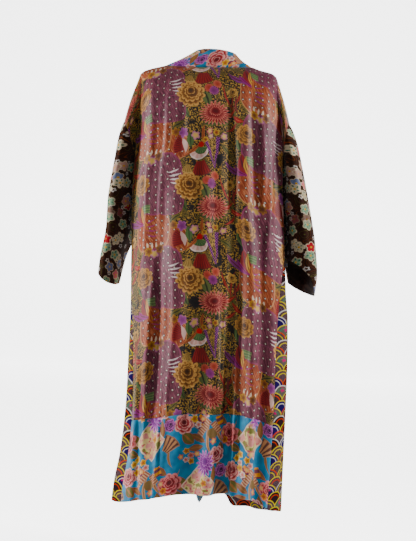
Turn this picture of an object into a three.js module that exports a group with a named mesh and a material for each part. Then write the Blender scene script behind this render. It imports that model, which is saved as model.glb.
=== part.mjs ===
// A long patchwork kimono robe, hanging filled out with nobody in it and seen best from behind.
// Millimetres, +Z up, +X to the wearer's right, +Y to the wearer's front.
// The origin is the middle of the shoulder line, where the wearer's shoulders carry the robe.
import * as THREE from 'three';

// Cloth
const WALL = 1.8; // printed cotton, backed
const BAND_WALL = 2.6; // the neckband is folded double
const SEAM_GAP = 0.4; // clear space between two pieces at a seam
const THICK_SEAM_GAP = 1.6; // and round the neckband and the sleeves, where the seams turn sharply

// Body
const SHOULDER_DROP = 110; // from the shoulder line down to the full depth of the back
const UNDERARM_Z = -240;
const NECK_HALF_WIDTH = 125; // where the neckband crosses the shoulder line
const NECK_DIP = 0.26; // how far the back neckline lies below the shoulder line, as a share of a level
const VALLEY_SWING = 15; // degrees that the fold beside the sleeve lies behind the side
const PANEL_START = 0.007; // the side panel starts just below the underarm
const BAND_START = 0.765; // where the hem band starts, as a share of the way from underarm to hem
const FACING_OFFSET = 2.3; // the hem facing lies this far inside the front

// Each section of the body, from the shoulder line down to the hem
const BODY_SECTIONS = [
  { z: 24, centre: 0, halfWidth: 194, back: 92, front: 86, square: 3.2 },
  { z: -6, centre: 0, halfWidth: 194, back: 92, front: 86, square: 3.2 },
  { z: -22, centre: 4, halfWidth: 192, back: 92, front: 86, square: 3.2 },
  { z: -66, centre: 8, halfWidth: 194, back: 94, front: 90, square: 3.2 },
  { z: -150, centre: 13, halfWidth: 202, back: 98, front: 97, square: 3.1 },
  { z: -340, centre: 16, halfWidth: 214, back: 104, front: 108, square: 2.8 },
  { z: -520, centre: 26, halfWidth: 219, back: 107, front: 112, square: 2.6 },
  { z: -654, centre: 32, halfWidth: 221, back: 109, front: 115, square: 2.6 },
  { z: -805, centre: 34, halfWidth: 225, back: 111, front: 119, square: 2.6 },
  { z: -953, centre: 33, halfWidth: 226, back: 114, front: 124, square: 2.6 },
  { z: -1082, centre: 28, halfWidth: 230, back: 118, front: 130, square: 2.6 },
  { z: -1168, centre: 21, halfWidth: 237, back: 122, front: 135, square: 2.6 },
  { z: -1270, centre: 17, halfWidth: 242, back: 125, front: 140, square: 2.6 },
];

// How far the side is pressed in beside the right sleeve, between the back and the front
const SIDE_TUCK = [
  { z: -200, depth: 0 },
  { z: -306, depth: 10 },
  { z: -385, depth: 14 },
  { z: -474, depth: 15 },
  { z: -545, depth: 13 },
  { z: -600, depth: 7 },
  { z: -680, depth: 0 },
];

// Height of the shoulder line above the origin, by distance from the middle
const SHOULDER_LINE = [
  { across: 0, z: 24 },
  { across: 119, z: 20 },
  { across: 146, z: 13 },
  { across: 181, z: 4 },
  { across: 194, z: -5 },
  { across: 215, z: -14 },
];

// Hanging folds: where each ridge runs at the shoulders, half way down and at the hem, and how far it stands out
const FOLDS = [
  { face: 'back', top: -204, middle: -210, hem: -214, reach: 13, high: 5, low: 2 },
  { face: 'back', top: -150, middle: -166, hem: -172, reach: 22, high: 5, low: 12 },
  { face: 'back', top: -50, middle: -81, hem: -106, reach: 36, high: 6, low: 36 },
  { face: 'back', top: 22, middle: 56, hem: 34, reach: 24, high: 8, low: 19 },
  { face: 'back', top: 100, middle: 121, hem: 131, reach: 19, high: 7, low: 35 },
  { face: 'back', top: 158, middle: 176, hem: 190, reach: 20, high: 9, low: 18 },
  { face: 'back', top: 206, middle: 212, hem: 216, reach: 13, high: 8, low: 3 },
  { face: 'front', top: -165, middle: -175, hem: -182, reach: 22, high: 4, low: 13 },
  { face: 'front', top: -105, middle: -122, hem: -128, reach: 25, high: 5, low: 24 },
  { face: 'front', top: 100, middle: 116, hem: 134, reach: 26, high: 5, low: 26 },
  { face: 'front', top: 160, middle: 178, hem: 188, reach: 22, high: 4, low: 14 },
];
const FOLD_TOP_Z = -50;
const FOLD_MIDDLE_Z = -600;
const FOLD_HEM_Z = -1170;

// Height of the hem on the wearer's left (-X) and right (+X), by angle round the body from the centre back
const HEM = [
  { angle: 0, left: -1173, right: -1173 },
  { angle: 20, left: -1188, right: -1169 },
  { angle: 35, left: -1203, right: -1181 },
  { angle: 55, left: -1217, right: -1208 },
  { angle: 90, left: -1224, right: -1230 },
  { angle: 130, left: -1226, right: -1255 },
  { angle: 161, left: -1225, right: -1255 },
  { angle: 164, left: -1224, right: -1249 },
  { angle: 168, left: -1221, right: -1222 },
  { angle: 180, left: -1216, right: -1210 },
];

// Angle from the centre back at which the back ends and the side panel starts; the front ends opposite
const SIDE_SEAM = [
  { z: -240, left: 87, right: 87 },
  { z: -400, left: 84, right: 80 },
  { z: -520, left: 79, right: 70 },
  { z: -640, left: 71, right: 60 },
  { z: -780, left: 62, right: 54 },
  { z: -920, left: 57, right: 53 },
  { z: -1060, left: 54, right: 52 },
  { z: -1270, left: 52, right: 51 },
];

// The neckband on the front: its seam and its free edge, by height
const FRONT_BAND = [
  { z: 20, seam: 125, freeLeft: 60, freeRight: 60 },
  { z: -40, seam: 117, freeLeft: 46, freeRight: 46 },
  { z: -110, seam: 98, freeLeft: 33, freeRight: 33 },
  { z: -240, seam: 84, freeLeft: 20, freeRight: 20 },
  { z: -400, seam: 76, freeLeft: 12, freeRight: 12 },
  { z: -700, seam: 73, freeLeft: 12, freeRight: 5 },
  { z: -1000, seam: 75, freeLeft: 18, freeRight: 0 },
  { z: -1270, seam: 78, freeLeft: 24, freeRight: -6 },
];
const BAND_TOP = { halfWidth: 55, back: 34, z: 66, sideZ: 63, tilt: 0.06 }; // the standing free edge round the neck
const BAND_LEAN = 20; // the collar leans to the wearer's right
const BAND_TIP = 36; // the right band's free corner hangs this much lower

// How far the neckband rounds outwards between its edges, by the same distance along it as bandPoint
const BAND_ROLL = [
  { along: 0, out: 4 },
  { along: 1, out: -6 },
  { along: 1.6, out: 3 },
  { along: 4, out: 5 },
];

// Sleeve rings from the armhole to the cuff: silhouette points outside and inside, seen from behind.
// lift raises the ring in front and behind, between its fold and the underarm.
const SLEEVES = {
  right: [
    { outX: 237, outZ: -137, inX: 225, inZ: -243, halfDepth: 80, centreY: 10, toe: 0, lift: 14 },
    { outX: 256, outZ: -178, inX: 225, inZ: -270, halfDepth: 85, centreY: 12, toe: 5, lift: 9 },
    { outX: 271, outZ: -236, inX: 224, inZ: -306, halfDepth: 88, centreY: 15, toe: 10, lift: 4 },
    { outX: 297, outZ: -347, inX: 229, inZ: -385, halfDepth: 89, centreY: 18, toe: 16, lift: 0 },
    { outX: 321, outZ: -460, inX: 235, inZ: -474, halfDepth: 86, centreY: 20, toe: 20, lift: 0 },
    { outX: 333, outZ: -553, inX: 243, inZ: -545, halfDepth: 80, centreY: 20, toe: 20, lift: 0 },
    { outX: 329, outZ: -619, inX: 250, inZ: -582, halfDepth: 72, centreY: 20, toe: 16, lift: 0 },
  ],
  left: [
    { outX: 233, outZ: -140, inX: 199, inZ: -243, halfDepth: 80, centreY: 10, toe: 0, lift: 30 },
    { outX: 243, outZ: -180, inX: 200, inZ: -270, halfDepth: 85, centreY: 12, toe: 5, lift: 20 },
    { outX: 251, outZ: -240, inX: 200, inZ: -306, halfDepth: 88, centreY: 15, toe: 9, lift: 8 },
    { outX: 265, outZ: -347, inX: 203, inZ: -385, halfDepth: 89, centreY: 18, toe: 14, lift: 0 },
    { outX: 267, outZ: -450, inX: 205, inZ: -460, halfDepth: 86, centreY: 20, toe: 18, lift: 0 },
    { outX: 281, outZ: -530, inX: 229, inZ: -532, halfDepth: 76, centreY: 20, toe: 14, lift: 0 },
    { outX: 288, outZ: -576, inX: 243, inZ: -612, halfDepth: 66, centreY: 20, toe: 10, lift: 0 },
  ],
};
const SLEEVE_FOLDS = [
  { turn: 0.28, reach: 0.07, out: 5 },
  { turn: 0.72, reach: 0.08, out: 4 },
  { turn: 1.3, reach: 0.08, out: 5 },
  { turn: 1.66, reach: 0.07, out: 4 },
];
// The back layer of the right sleeve is cut higher beside the body: the share of the sleeve's length there
const CUFF_CUT = [
  { turn: 0, left: 1, right: 1 },
  { turn: 0.15, left: 1, right: 1 },
  { turn: 0.5, left: 1, right: 0.86 },
  { turn: 0.75, left: 1, right: 0.79 },
  { turn: 1, left: 1, right: 0.79 },
  { turn: 1.12, left: 1, right: 0.96 },
  { turn: 1.25, left: 1, right: 1 },
  { turn: 2, left: 1, right: 1 },
];
const TRIM_START = 0.5; // the turquoise strip on the front starts half way from the body to the sleeve seam

// How finely the sheets are divided
const CELLS = {
  backNeck: 7,
  backShoulder: 9,
  frontAcross: 12,
  dropAcross: 4,
  dome: 6,
  chest: 4,
  skirt: 13,
  hemBand: 4,
  side: 5,
  sleeveAlong: 10,
  bandAcross: 4,
};

const PRINTS = {
  floral: { color: 0x8a5a44, roughness: 0.72, metalness: 0 },
  turquoise: { color: 0x3c93a8, roughness: 0.72, metalness: 0 },
  scales: { color: 0x4a3645, roughness: 0.72, metalness: 0 },
  brown: { color: 0x3a2820, roughness: 0.74, metalness: 0 },
};

// Reading the tables
const clamp = THREE.MathUtils.clamp;
const radians = THREE.MathUtils.degToRad;
const degrees = THREE.MathUtils.radToDeg;

function smooth(share) {
  const t = clamp(share, 0, 1);
  return t * t * (3 - 2 * t);
}

// A smooth curve through the rows of a table, read at one value of its key column
function readTable(rows, key, column, at) {
  const rising = rows[rows.length - 1][key] > rows[0][key] ? 1 : -1;
  const last = rows.length - 2;
  let i = 0;
  while (i < last && (at - rows[i + 1][key]) * rising > 0) i += 1;
  const here = rows[i];
  const next = rows[i + 1];
  const before = rows[Math.max(i - 1, 0)];
  const after = rows[Math.min(i + 2, rows.length - 1)];
  const span = next[key] - here[key];
  const t = clamp((at - here[key]) / span, 0, 1);
  const slopeHere = ((next[column] - before[column]) / (next[key] - before[key])) * span;
  const slopeNext = ((after[column] - here[column]) / (after[key] - here[key])) * span;
  const t2 = t * t;
  const t3 = t2 * t;
  return (
    here[column] * (2 * t3 - 3 * t2 + 1) +
    slopeHere * (t3 - 2 * t2 + t) +
    next[column] * (3 * t2 - 2 * t3) +
    slopeNext * (t3 - t2)
  );
}

const signedPower = (value, power) => Math.sign(value) * Math.abs(value) ** power;

// The body surface. angle runs from 0 at the centre back to 180 at the centre front, negative on the left.
// level runs from 0 on the shoulder line to 1 at full depth, 2 at the underarm and 3 at the hem.
function hemHeight(angle) {
  return readTable(HEM, 'angle', angle < 0 ? 'left' : 'right', Math.abs(angle));
}

function foldHeight(face, across, z) {
  const fall = smooth((FOLD_TOP_Z - z) / (FOLD_TOP_Z - FOLD_HEM_Z));
  const upper = smooth((FOLD_TOP_Z - z) / (FOLD_TOP_Z - FOLD_MIDDLE_Z));
  const lower = smooth((FOLD_MIDDLE_Z - z) / (FOLD_MIDDLE_Z - FOLD_HEM_Z));
  const start = smooth(-z / -FOLD_TOP_Z);
  let height = 0;
  for (const fold of FOLDS.filter((f) => f.face === face)) {
    const ridge = fold.top + (fold.middle - fold.top) * upper + (fold.hem - fold.middle) * lower;
    const away = (across - ridge) / fold.reach;
    height += (fold.high + (fold.low - fold.high) * fall) * start * Math.exp(-away * away);
  }
  return height;
}

function bodyPoint(angle, level) {
  const turn = radians(angle);
  const dome = radians(90) * clamp(level, -1, 1);
  let z = -SHOULDER_DROP * (1 - Math.cos(dome));
  if (level > 1) z += (UNDERARM_Z + SHOULDER_DROP) * Math.min(level - 1, 1);
  if (level > 2) z += (hemHeight(angle) - UNDERARM_Z) * (level - 2);
  const section = (column) => readTable(BODY_SECTIONS, 'z', column, z);
  const power = 2 / section('square');
  const across = section('halfWidth') * signedPower(Math.sin(turn), power);
  const isBack = Math.cos(turn) >= 0;
  const depth = section(isBack ? 'back' : 'front');
  const along = -depth * signedPower(Math.cos(turn), power);
  const outward = new THREE.Vector2(
    signedPower(across / section('halfWidth'), section('square') - 1) / section('halfWidth'),
    signedPower(along / depth, section('square') - 1) / depth,
  ).normalize();
  const fold = foldHeight(isBack ? 'back' : 'front', across, z) * smooth(Math.abs(Math.cos(turn)) * 4);
  const tuck = angle > 0 ? readTable(SIDE_TUCK, 'z', 'depth', z) * smooth((Math.sin(turn) - 0.94) / 0.06) : 0;
  const x = section('centre') + across + outward.x * fold - tuck;
  const y = (along + outward.y * fold) * Math.sin(Math.abs(dome)) * Math.sign(dome || 1);
  z += readTable(SHOULDER_LINE, 'across', 'z', Math.abs(across)) * Math.cos(dome);
  return new THREE.Vector3(x, y, z);
}

// The angle on the back or front at which the body surface lies at one x
function angleAt(x, z, isBack) {
  const centre = readTable(BODY_SECTIONS, 'z', 'centre', z);
  const halfWidth = readTable(BODY_SECTIONS, 'z', 'halfWidth', z);
  const square = readTable(BODY_SECTIONS, 'z', 'square', z);
  const angle = degrees(Math.asin(clamp(signedPower((x - centre) / halfWidth, square / 2), -1, 1)));
  if (isBack) return angle;
  return angle < 0 ? -180 - angle : 180 - angle;
}

const levelHeight = (level, angle) => bodyPoint(angle, level).z;

// Share of the way down the armhole, from the shoulder line to the underarm
const armholeShare = (level) => clamp(level, 0, 2) / 2;

// Where the back ends at one side: the fold beside the sleeve, and the side seam below the underarm
function backEdge(side, level) {
  const column = side < 0 ? 'left' : 'right';
  if (level <= 2) {
    const share = armholeShare(level);
    const meets = readTable(SIDE_SEAM, 'z', column, UNDERARM_Z);
    return 90 - (90 - meets) * share - VALLEY_SWING * Math.sin(Math.PI * share) ** 0.8;
  }
  const z = UNDERARM_Z + (hemHeight(side * 60) - UNDERARM_Z) * (level - 2);
  return readTable(SIDE_SEAM, 'z', column, z);
}

// The neckline: on the back it dips below the shoulder line, on the front it follows the neckband's seam
const neckLevel = (x) => NECK_DIP * Math.sqrt(Math.max(0, 1 - (x / NECK_HALF_WIDTH) ** 2));

function frontBandAngle(side, level, across) {
  const z = levelHeight(level, side * 165);
  const seam = readTable(FRONT_BAND, 'z', 'seam', z);
  const free = readTable(FRONT_BAND, 'z', side < 0 ? 'freeLeft' : 'freeRight', z);
  return angleAt(side * (seam + (free - seam) * across), z, false);
}

// The sleeve surface. turn runs from 0 on the outer fold to 1 at the underarm seam and 2 back at the fold,
// along the back first. along runs from 0 at the armhole to 1 at the cuff.
function sleevePoint(side, turn, along) {
  const rings = SLEEVES[side < 0 ? 'left' : 'right'].map((ring, index) => ({ ...ring, index }));
  const read = (column) => readTable(rings, 'index', column, along * (rings.length - 1));
  const angle = Math.PI * turn;
  const halfSeen = (read('outX') - read('inX')) / 2;
  const halfWidth = Math.sqrt(Math.max(halfSeen ** 2 - read('toe') ** 2, 4));
  const middle = (read('outX') + read('inX')) / 2;
  const tilt = (read('outZ') - read('inZ')) / 2;
  const lift = read('lift') * Math.sin(angle) ** 2 * (1 - Math.cos(angle)) * 0.77;
  let fold = 0;
  for (const ridge of SLEEVE_FOLDS) {
    const away = (turn - ridge.turn) / ridge.reach;
    fold += ridge.out * smooth(along * 3) * Math.exp(-away * away);
  }
  return new THREE.Vector3(
    side * (middle + halfWidth * Math.cos(angle) + read('toe') * Math.sin(angle)),
    read('centreY') - (read('halfDepth') + fold) * Math.sin(angle),
    (read('outZ') + read('inZ')) / 2 + tilt * Math.cos(angle) + lift,
  );
}

// The dropped shoulder, part of the back and of the front: it runs from the fold beside the body to the armhole
function dropPoint(side, face, share, across) {
  const edge = backEdge(side, share * 2);
  const valley = bodyPoint(side * (face === 'back' ? edge : 180 - edge), share * 2);
  const seam = sleevePoint(side, face === 'back' ? share : 2 - share, 0);
  const point = valley.clone().lerp(seam, across);
  const swell = 5 * Math.sin(Math.PI * across) * Math.sin(Math.PI * Math.min(share + 0.15, 1));
  point.x += side * swell;
  point.y += (face === 'back' ? -1 : 1) * swell * smooth(share * 4);
  return point;
}

// The neckband. along runs from 0 at the centre back to 1 on the shoulder and 4 at the hem of one front.
// across runs from 0 at the seam to 1 at the free edge.
function bandEdges(side, along) {
  if (along <= 1) {
    const turn = radians(90) * along;
    const x = side * NECK_HALF_WIDTH * Math.sin(turn);
    const seam = bodyPoint(angleAt(x, 0, true), neckLevel(x));
    const rise = smooth(1 - along);
    const free = new THREE.Vector3(
      side * BAND_TOP.halfWidth * Math.sin(turn) + BAND_LEAN,
      -BAND_TOP.back * Math.cos(turn),
      BAND_TOP.sideZ + (BAND_TOP.z - BAND_TOP.sideZ) * rise,
    );
    free.z -= BAND_TOP.tilt * free.x;
    return { seam, free };
  }
  const level = along - 1;
  const seam = bodyPoint(frontBandAngle(side, level, 0), level);
  const onFront = bodyPoint(frontBandAngle(side, level, 1), level);
  const standing = new THREE.Vector3(
    side * BAND_TOP.halfWidth + BAND_LEAN,
    70 * smooth(level),
    BAND_TOP.sideZ - 90 * level * level,
  );
  standing.z -= BAND_TOP.tilt * standing.x;
  return { seam, free: standing.lerp(onFront, smooth(level)) };
}

function bandPoint(along, across) {
  const side = along < 0 ? -1 : 1;
  const { seam, free } = bandEdges(side, Math.abs(along));
  const point = seam.clone().lerp(free, across);
  const onFront = smooth(Math.abs(along) - 1);
  const outward = new THREE.Vector3(point.x, point.y, 0).normalize().lerp(new THREE.Vector3(0, 1, 0), onFront);
  if (along > 0) point.z -= BAND_TIP * smooth((along - 3.93) / 0.07) * Math.sin(Math.PI * across ** 3) ** 3;
  const roll = readTable(BAND_ROLL, 'along', 'out', Math.abs(along));
  return point.addScaledVector(outward, roll * Math.sin(Math.PI * across));
}

// Normals from small steps on a surface; sign makes them point out of the robe
function surfaceNormal(surface, u, v, sign, step = 0.004) {
  const du = surface(u + step, v).sub(surface(u - step, v));
  const dv = surface(u, v + step).sub(surface(u, v - step));
  return du.cross(dv).normalize().multiplyScalar(sign);
}

function bodyNormal(angle, level) {
  const fromSide = Math.abs(angle) - 90;
  const corner = level < 0.05 && Math.abs(fromSide) < 3;
  const at = corner ? Math.sign(angle) * (90 + (fromSide > 0 ? 3 : -3)) : angle;
  return surfaceNormal((a, l) => bodyPoint(a * 100, l), at / 100, level, -1);
}

function dropNormal(side, face, share, across) {
  const normalOf = (on, at) => {
    const sign = side * (on === 'back' ? 1 : -1);
    return surfaceNormal((s, t) => dropPoint(side, on, s, t), at, clamp(across, 0.02, 0.98), sign);
  };
  const onFold = share < 0.001 || share > 0.999;
  const at = clamp(share, 0.03, 0.97);
  if (onFold) return normalOf('back', at).add(normalOf('front', at)).normalize();
  return normalOf(face, at);
}

function sleeveNormal(side, turn, along) {
  return surfaceNormal((t, a) => sleevePoint(side, t, a), turn, clamp(along, 0.01, 0.99), side);
}

// Normals on seams are shared by both pieces, so that their edges stay parallel
function neckSeamNormal(along) {
  const side = along < 0 ? -1 : 1;
  const distance = Math.abs(along);
  const band = surfaceNormal(bandPoint, along, 0.02, 1);
  const { seam } = bandEdges(side, distance);
  const angle = distance <= 1 ? angleAt(seam.x, 0, true) : frontBandAngle(side, distance - 1, 0);
  const level = distance <= 1 ? neckLevel(seam.x) : distance - 1;
  return band.add(bodyNormal(angle, level)).normalize();
}

function armholeNormal(side, turn) {
  const drop = dropNormal(side, turn <= 1 ? 'back' : 'front', turn <= 1 ? turn : 2 - turn, 0.9);
  return sleeveNormal(side, turn, 0).add(drop).normalize();
}

// A closed wall of cloth over a grid of points: every active cell has an outer and an inner face, and the
// border is closed by a strip. Points on the border are pulled in by half the seam gap.
function clothWall({ name, print, columns, rows, wrap = false, pointAt, normalAt, active = () => true, wall = WALL, gap = SEAM_GAP }) {
  const points = [];
  for (let j = 0; j <= rows; j += 1) {
    for (let i = 0; i <= columns; i += 1) points.push(pointAt(i, j));
  }
  const index = (i, j) => j * (columns + 1) + (wrap ? (i + columns) % columns : i);
  const isActive = (i, j) => {
    const column = wrap ? (i + columns) % columns : i;
    return column >= 0 && column < columns && j >= 0 && j < rows && active(column, j);
  };
  const around = (i, j) => [[i - 1, j - 1], [i, j - 1], [i, j], [i - 1, j]].filter(([a, b]) => isActive(a, b));
  const cellMiddle = ([i, j]) =>
    new THREE.Vector3()
      .add(points[index(i, j)])
      .add(points[index(i + 1, j)])
      .add(points[index(i + 1, j + 1)])
      .add(points[index(i, j + 1)])
      .divideScalar(4);

  const vertices = [];
  const slot = new Map();
  for (let j = 0; j <= rows; j += 1) {
    for (let i = 0; i < columns + (wrap ? 0 : 1); i += 1) {
      const cells = around(i, j);
      if (!cells.length) continue;
      const point = points[index(i, j)].clone();
      const normal = normalAt(i, j).clone();
      if (cells.length < 4) {
        const inward = cells.map(cellMiddle).reduce((sum, p) => sum.add(p), new THREE.Vector3());
        inward.divideScalar(cells.length).sub(point);
        inward.addScaledVector(normal, -inward.dot(normal)).normalize();
        const reach = cells.length === 2 ? gap / 2 : (gap / 2) * Math.SQRT2;
        point.addScaledVector(inward, reach);
      }
      slot.set(index(i, j), vertices.length / 3);
      for (const offset of [wall / 2, -wall / 2]) {
        vertices.push(...point.clone().addScaledVector(normal, offset).toArray());
      }
    }
  }
  const outer = (i, j) => slot.get(index(i, j));
  const inner = (i, j) => slot.get(index(i, j)) + 1;
  const faces = [];
  const quad = (a, b, c, d) => faces.push(a, b, c, a, c, d);
  const strip = (i1, j1, i2, j2) => quad(outer(i2, j2), outer(i1, j1), inner(i1, j1), inner(i2, j2));
  for (let j = 0; j < rows; j += 1) {
    for (let i = 0; i < columns; i += 1) {
      if (!isActive(i, j)) continue;
      quad(outer(i, j), outer(i + 1, j), outer(i + 1, j + 1), outer(i, j + 1));
      quad(inner(i, j), inner(i, j + 1), inner(i + 1, j + 1), inner(i + 1, j));
      if (!isActive(i, j - 1)) strip(i, j, i + 1, j);
      if (!isActive(i + 1, j)) strip(i + 1, j, i + 1, j + 1);
      if (!isActive(i, j + 1)) strip(i + 1, j + 1, i, j + 1);
      if (!isActive(i - 1, j)) strip(i, j + 1, i, j);
    }
  }
  const geometry = new THREE.BufferGeometry();
  geometry.setAttribute('position', new THREE.Float32BufferAttribute(vertices, 3));
  geometry.setIndex(outwardFaces(vertices, faces));
  geometry.computeVertexNormals();
  const mesh = new THREE.Mesh(geometry, new THREE.MeshStandardMaterial(PRINTS[print]));
  mesh.name = name;
  return mesh;
}

// Turns every face round if the closed mesh has a negative volume
function outwardFaces(vertices, faces) {
  const corner = (k) => new THREE.Vector3().fromArray(vertices, faces[k] * 3);
  let volume = 0;
  for (let k = 0; k < faces.length; k += 3) volume += corner(k).dot(corner(k + 1).cross(corner(k + 2)));
  if (volume > 0) return faces;
  return faces.map((_, k) => faces[k - (k % 3) + [0, 2, 1][k % 3]]);
}

// Levels of the rows, from the shoulder line to the start of the hem band and on to the hem
function levelRows(from, to) {
  const rows = [];
  const add = (start, end, cells) => {
    for (let k = 1; k <= cells; k += 1) rows.push(start + ((end - start) * k) / cells);
  };
  rows.push(0);
  add(0, 1, CELLS.dome);
  add(1, 2, CELLS.chest);
  add(2, 2 + BAND_START, CELLS.skirt);
  add(2 + BAND_START, 3, CELLS.hemBand);
  return rows.filter((level) => level >= from - 1e-9 && level <= to + 1e-9);
}

// Columns of the back, as shares of the way from the centre to the side; one of them meets the neckband's corner
const BACK_COLUMNS = CELLS.backNeck + CELLS.backShoulder;
function backShare(column) {
  const count = Math.abs(column - BACK_COLUMNS);
  const corner = angleAt(NECK_HALF_WIDTH, SHOULDER_LINE[0].z, true) / 90;
  const beyond = (count - CELLS.backNeck) / CELLS.backShoulder;
  const share = beyond > 0 ? corner + (1 - corner) * beyond : corner * (count / CELLS.backNeck) ** 1.3;
  return Math.sign(column - BACK_COLUMNS) * share;
}

// Angle of one column of the back at one level
function backAngle(column, level) {
  const side = column < BACK_COLUMNS ? -1 : 1;
  return backEdge(side, level) * backShare(column);
}

// Angle of one column of a front: share runs from 0 at the neckband to 1 at the side
function frontAngle(side, share, level) {
  const inside = Math.abs(frontBandAngle(side, level, 0));
  const outside = 180 - backEdge(side, level);
  return side * (inside + (outside - inside) * share);
}

// On the back the rows between the neckline and full depth start at the neckline
function backLevel(angle, level) {
  if (level >= 1) return level;
  const x = bodyPoint(angle, 0).x;
  const start = neckLevel(x);
  return start + (1 - start) * level;
}

// Where a column of the back meets the neckband
function neckStation(column) {
  const x = bodyPoint(backAngle(column, 0), 0).x;
  return degrees(Math.asin(clamp(x / NECK_HALF_WIDTH, -1, 1))) / 90;
}

// The back and each front carry a dropped shoulder beside the body columns, down to the underarm row
function makeBack() {
  const levels = levelRows(0, 2 + BAND_START);
  const underarmRow = levels.indexOf(2);
  const drop = CELLS.dropAcross;
  const columns = 2 * (BACK_COLUMNS + drop);
  const place = (i, j) => {
    const level = levels[j];
    if (i < drop) return { side: -1, across: (drop - i) / drop, level };
    if (i > columns - drop) return { side: 1, across: (i - columns + drop) / drop, level };
    return { column: i - drop, level };
  };
  return clothWall({
    name: 'back',
    print: 'floral',
    columns,
    rows: levels.length - 1,
    active: (i, j) => j < underarmRow || (i >= drop && i < columns - drop),
    pointAt: (i, j) => {
      const { side, across, column, level } = place(i, j);
      if (across !== undefined) return dropPoint(side, 'back', armholeShare(level), across);
      const angle = backAngle(column, level);
      return bodyPoint(angle, backLevel(angle, level));
    },
    normalAt: (i, j) => {
      const { side, across, column, level } = place(i, j);
      if (across === 1) return armholeNormal(side, armholeShare(level));
      if (across !== undefined) return dropNormal(side, 'back', armholeShare(level), across);
      const angle = backAngle(column, level);
      if (j === 0 && Math.abs(column - BACK_COLUMNS) <= CELLS.backNeck) return neckSeamNormal(neckStation(column));
      return bodyNormal(angle, backLevel(angle, level));
    },
  });
}

function makeFront(side, name) {
  const levels = levelRows(0, 2 + BAND_START);
  const underarmRow = levels.indexOf(2);
  const drop = CELLS.dropAcross;
  const columns = CELLS.frontAcross + drop;
  const trimColumn = CELLS.frontAcross + drop * TRIM_START;
  const place = (i, j) => {
    const level = levels[j];
    if (i > CELLS.frontAcross) return { across: (i - CELLS.frontAcross) / drop, level };
    return { share: i / CELLS.frontAcross, level };
  };
  return clothWall({
    name,
    print: 'floral',
    columns,
    rows: levels.length - 1,
    active: (i, j) => i < CELLS.frontAcross || j === underarmRow - 1 || (i < trimColumn && j < underarmRow),
    pointAt: (i, j) => {
      const { across, share, level } = place(i, j);
      if (across !== undefined) return dropPoint(side, 'front', armholeShare(level), across);
      return bodyPoint(frontAngle(side, share, level), level);
    },
    normalAt: (i, j) => {
      const { across, share, level } = place(i, j);
      if (across === 1) return armholeNormal(side, 2 - armholeShare(level));
      if (across !== undefined) return dropNormal(side, 'front', armholeShare(level), across);
      if (i === 0) return neckSeamNormal(side * (level + 1));
      return bodyNormal(frontAngle(side, share, level), level);
    },
  });
}

// The turquoise strip along the front of the sleeve seam
function makeShoulderTrim(side, name) {
  const levels = levelRows(0, 2).slice(0, -1);
  const columns = CELLS.dropAcross * (1 - TRIM_START);
  const acrossAt = (i) => TRIM_START + ((1 - TRIM_START) * i) / columns;
  return clothWall({
    name,
    print: 'turquoise',
    columns,
    rows: levels.length - 1,
    pointAt: (i, j) => dropPoint(side, 'front', armholeShare(levels[j]), acrossAt(i)),
    normalAt: (i, j) => {
      const share = armholeShare(levels[j]);
      if (i === columns) return armholeNormal(side, 2 - share);
      return dropNormal(side, 'front', share, acrossAt(i));
    },
  });
}

// A piece of the body between two columns and two levels
function makeBodyPiece({ name, print, columns, from, to, angleOf, seamColumn, start = 0 }) {
  const levels = levelRows(from, to);
  levels[0] += start;
  const normalAt = (i, j) => {
    if (i === seamColumn) return neckSeamNormal(Math.sign(angleOf(0, 3)) * (levels[j] + 1));
    return bodyNormal(angleOf(i / columns, levels[j]), levels[j]);
  };
  return clothWall({
    name,
    print,
    columns,
    rows: levels.length - 1,
    pointAt: (i, j) => bodyPoint(angleOf(i / columns, levels[j]), levels[j]),
    normalAt,
  });
}

function makeSidePanel(side, name) {
  const angleOf = (share, level) => side * (backEdge(side, level) + (180 - 2 * backEdge(side, level)) * share);
  const columns = CELLS.side;
  return makeBodyPiece({ name, print: 'scales', columns, from: 2, to: 3, angleOf, start: PANEL_START });
}

function makeHemBands() {
  const from = 2 + BAND_START;
  const bands = [
    makeBodyPiece({
      name: 'back_hem_band',
      print: 'turquoise',
      columns: 2 * BACK_COLUMNS,
      from,
      to: 3,
      angleOf: (share, level) => backAngle(share * 2 * BACK_COLUMNS, level),
    }),
  ];
  for (const [side, word] of [[-1, 'left'], [1, 'right']]) {
    bands.push(
      makeBodyPiece({
        name: `front_hem_band_${word}`,
        print: 'turquoise',
        columns: CELLS.frontAcross,
        from,
        to: 3,
        seamColumn: 0,
        angleOf: (share, level) => frontAngle(side, share, level),
      }),
    );
  }
  return bands;
}

// The facing inside the hem of each front, seen from behind where that front hangs lower than the back
function makeHemFacing(side, name) {
  const levels = levelRows(2 + BAND_START, 3).slice(-2);
  const columns = CELLS.frontAcross - 2;
  const angleAtCell = (i, j) => frontAngle(side, (i + 1) / CELLS.frontAcross, levels[j]);
  const normalAt = (i, j) => bodyNormal(angleAtCell(i, j), levels[j]);
  return clothWall({
    name,
    print: 'scales',
    columns,
    rows: 1,
    pointAt: (i, j) => bodyPoint(angleAtCell(i, j), levels[j]).addScaledVector(normalAt(i, j), -FACING_OFFSET),
    normalAt,
  });
}

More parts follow.
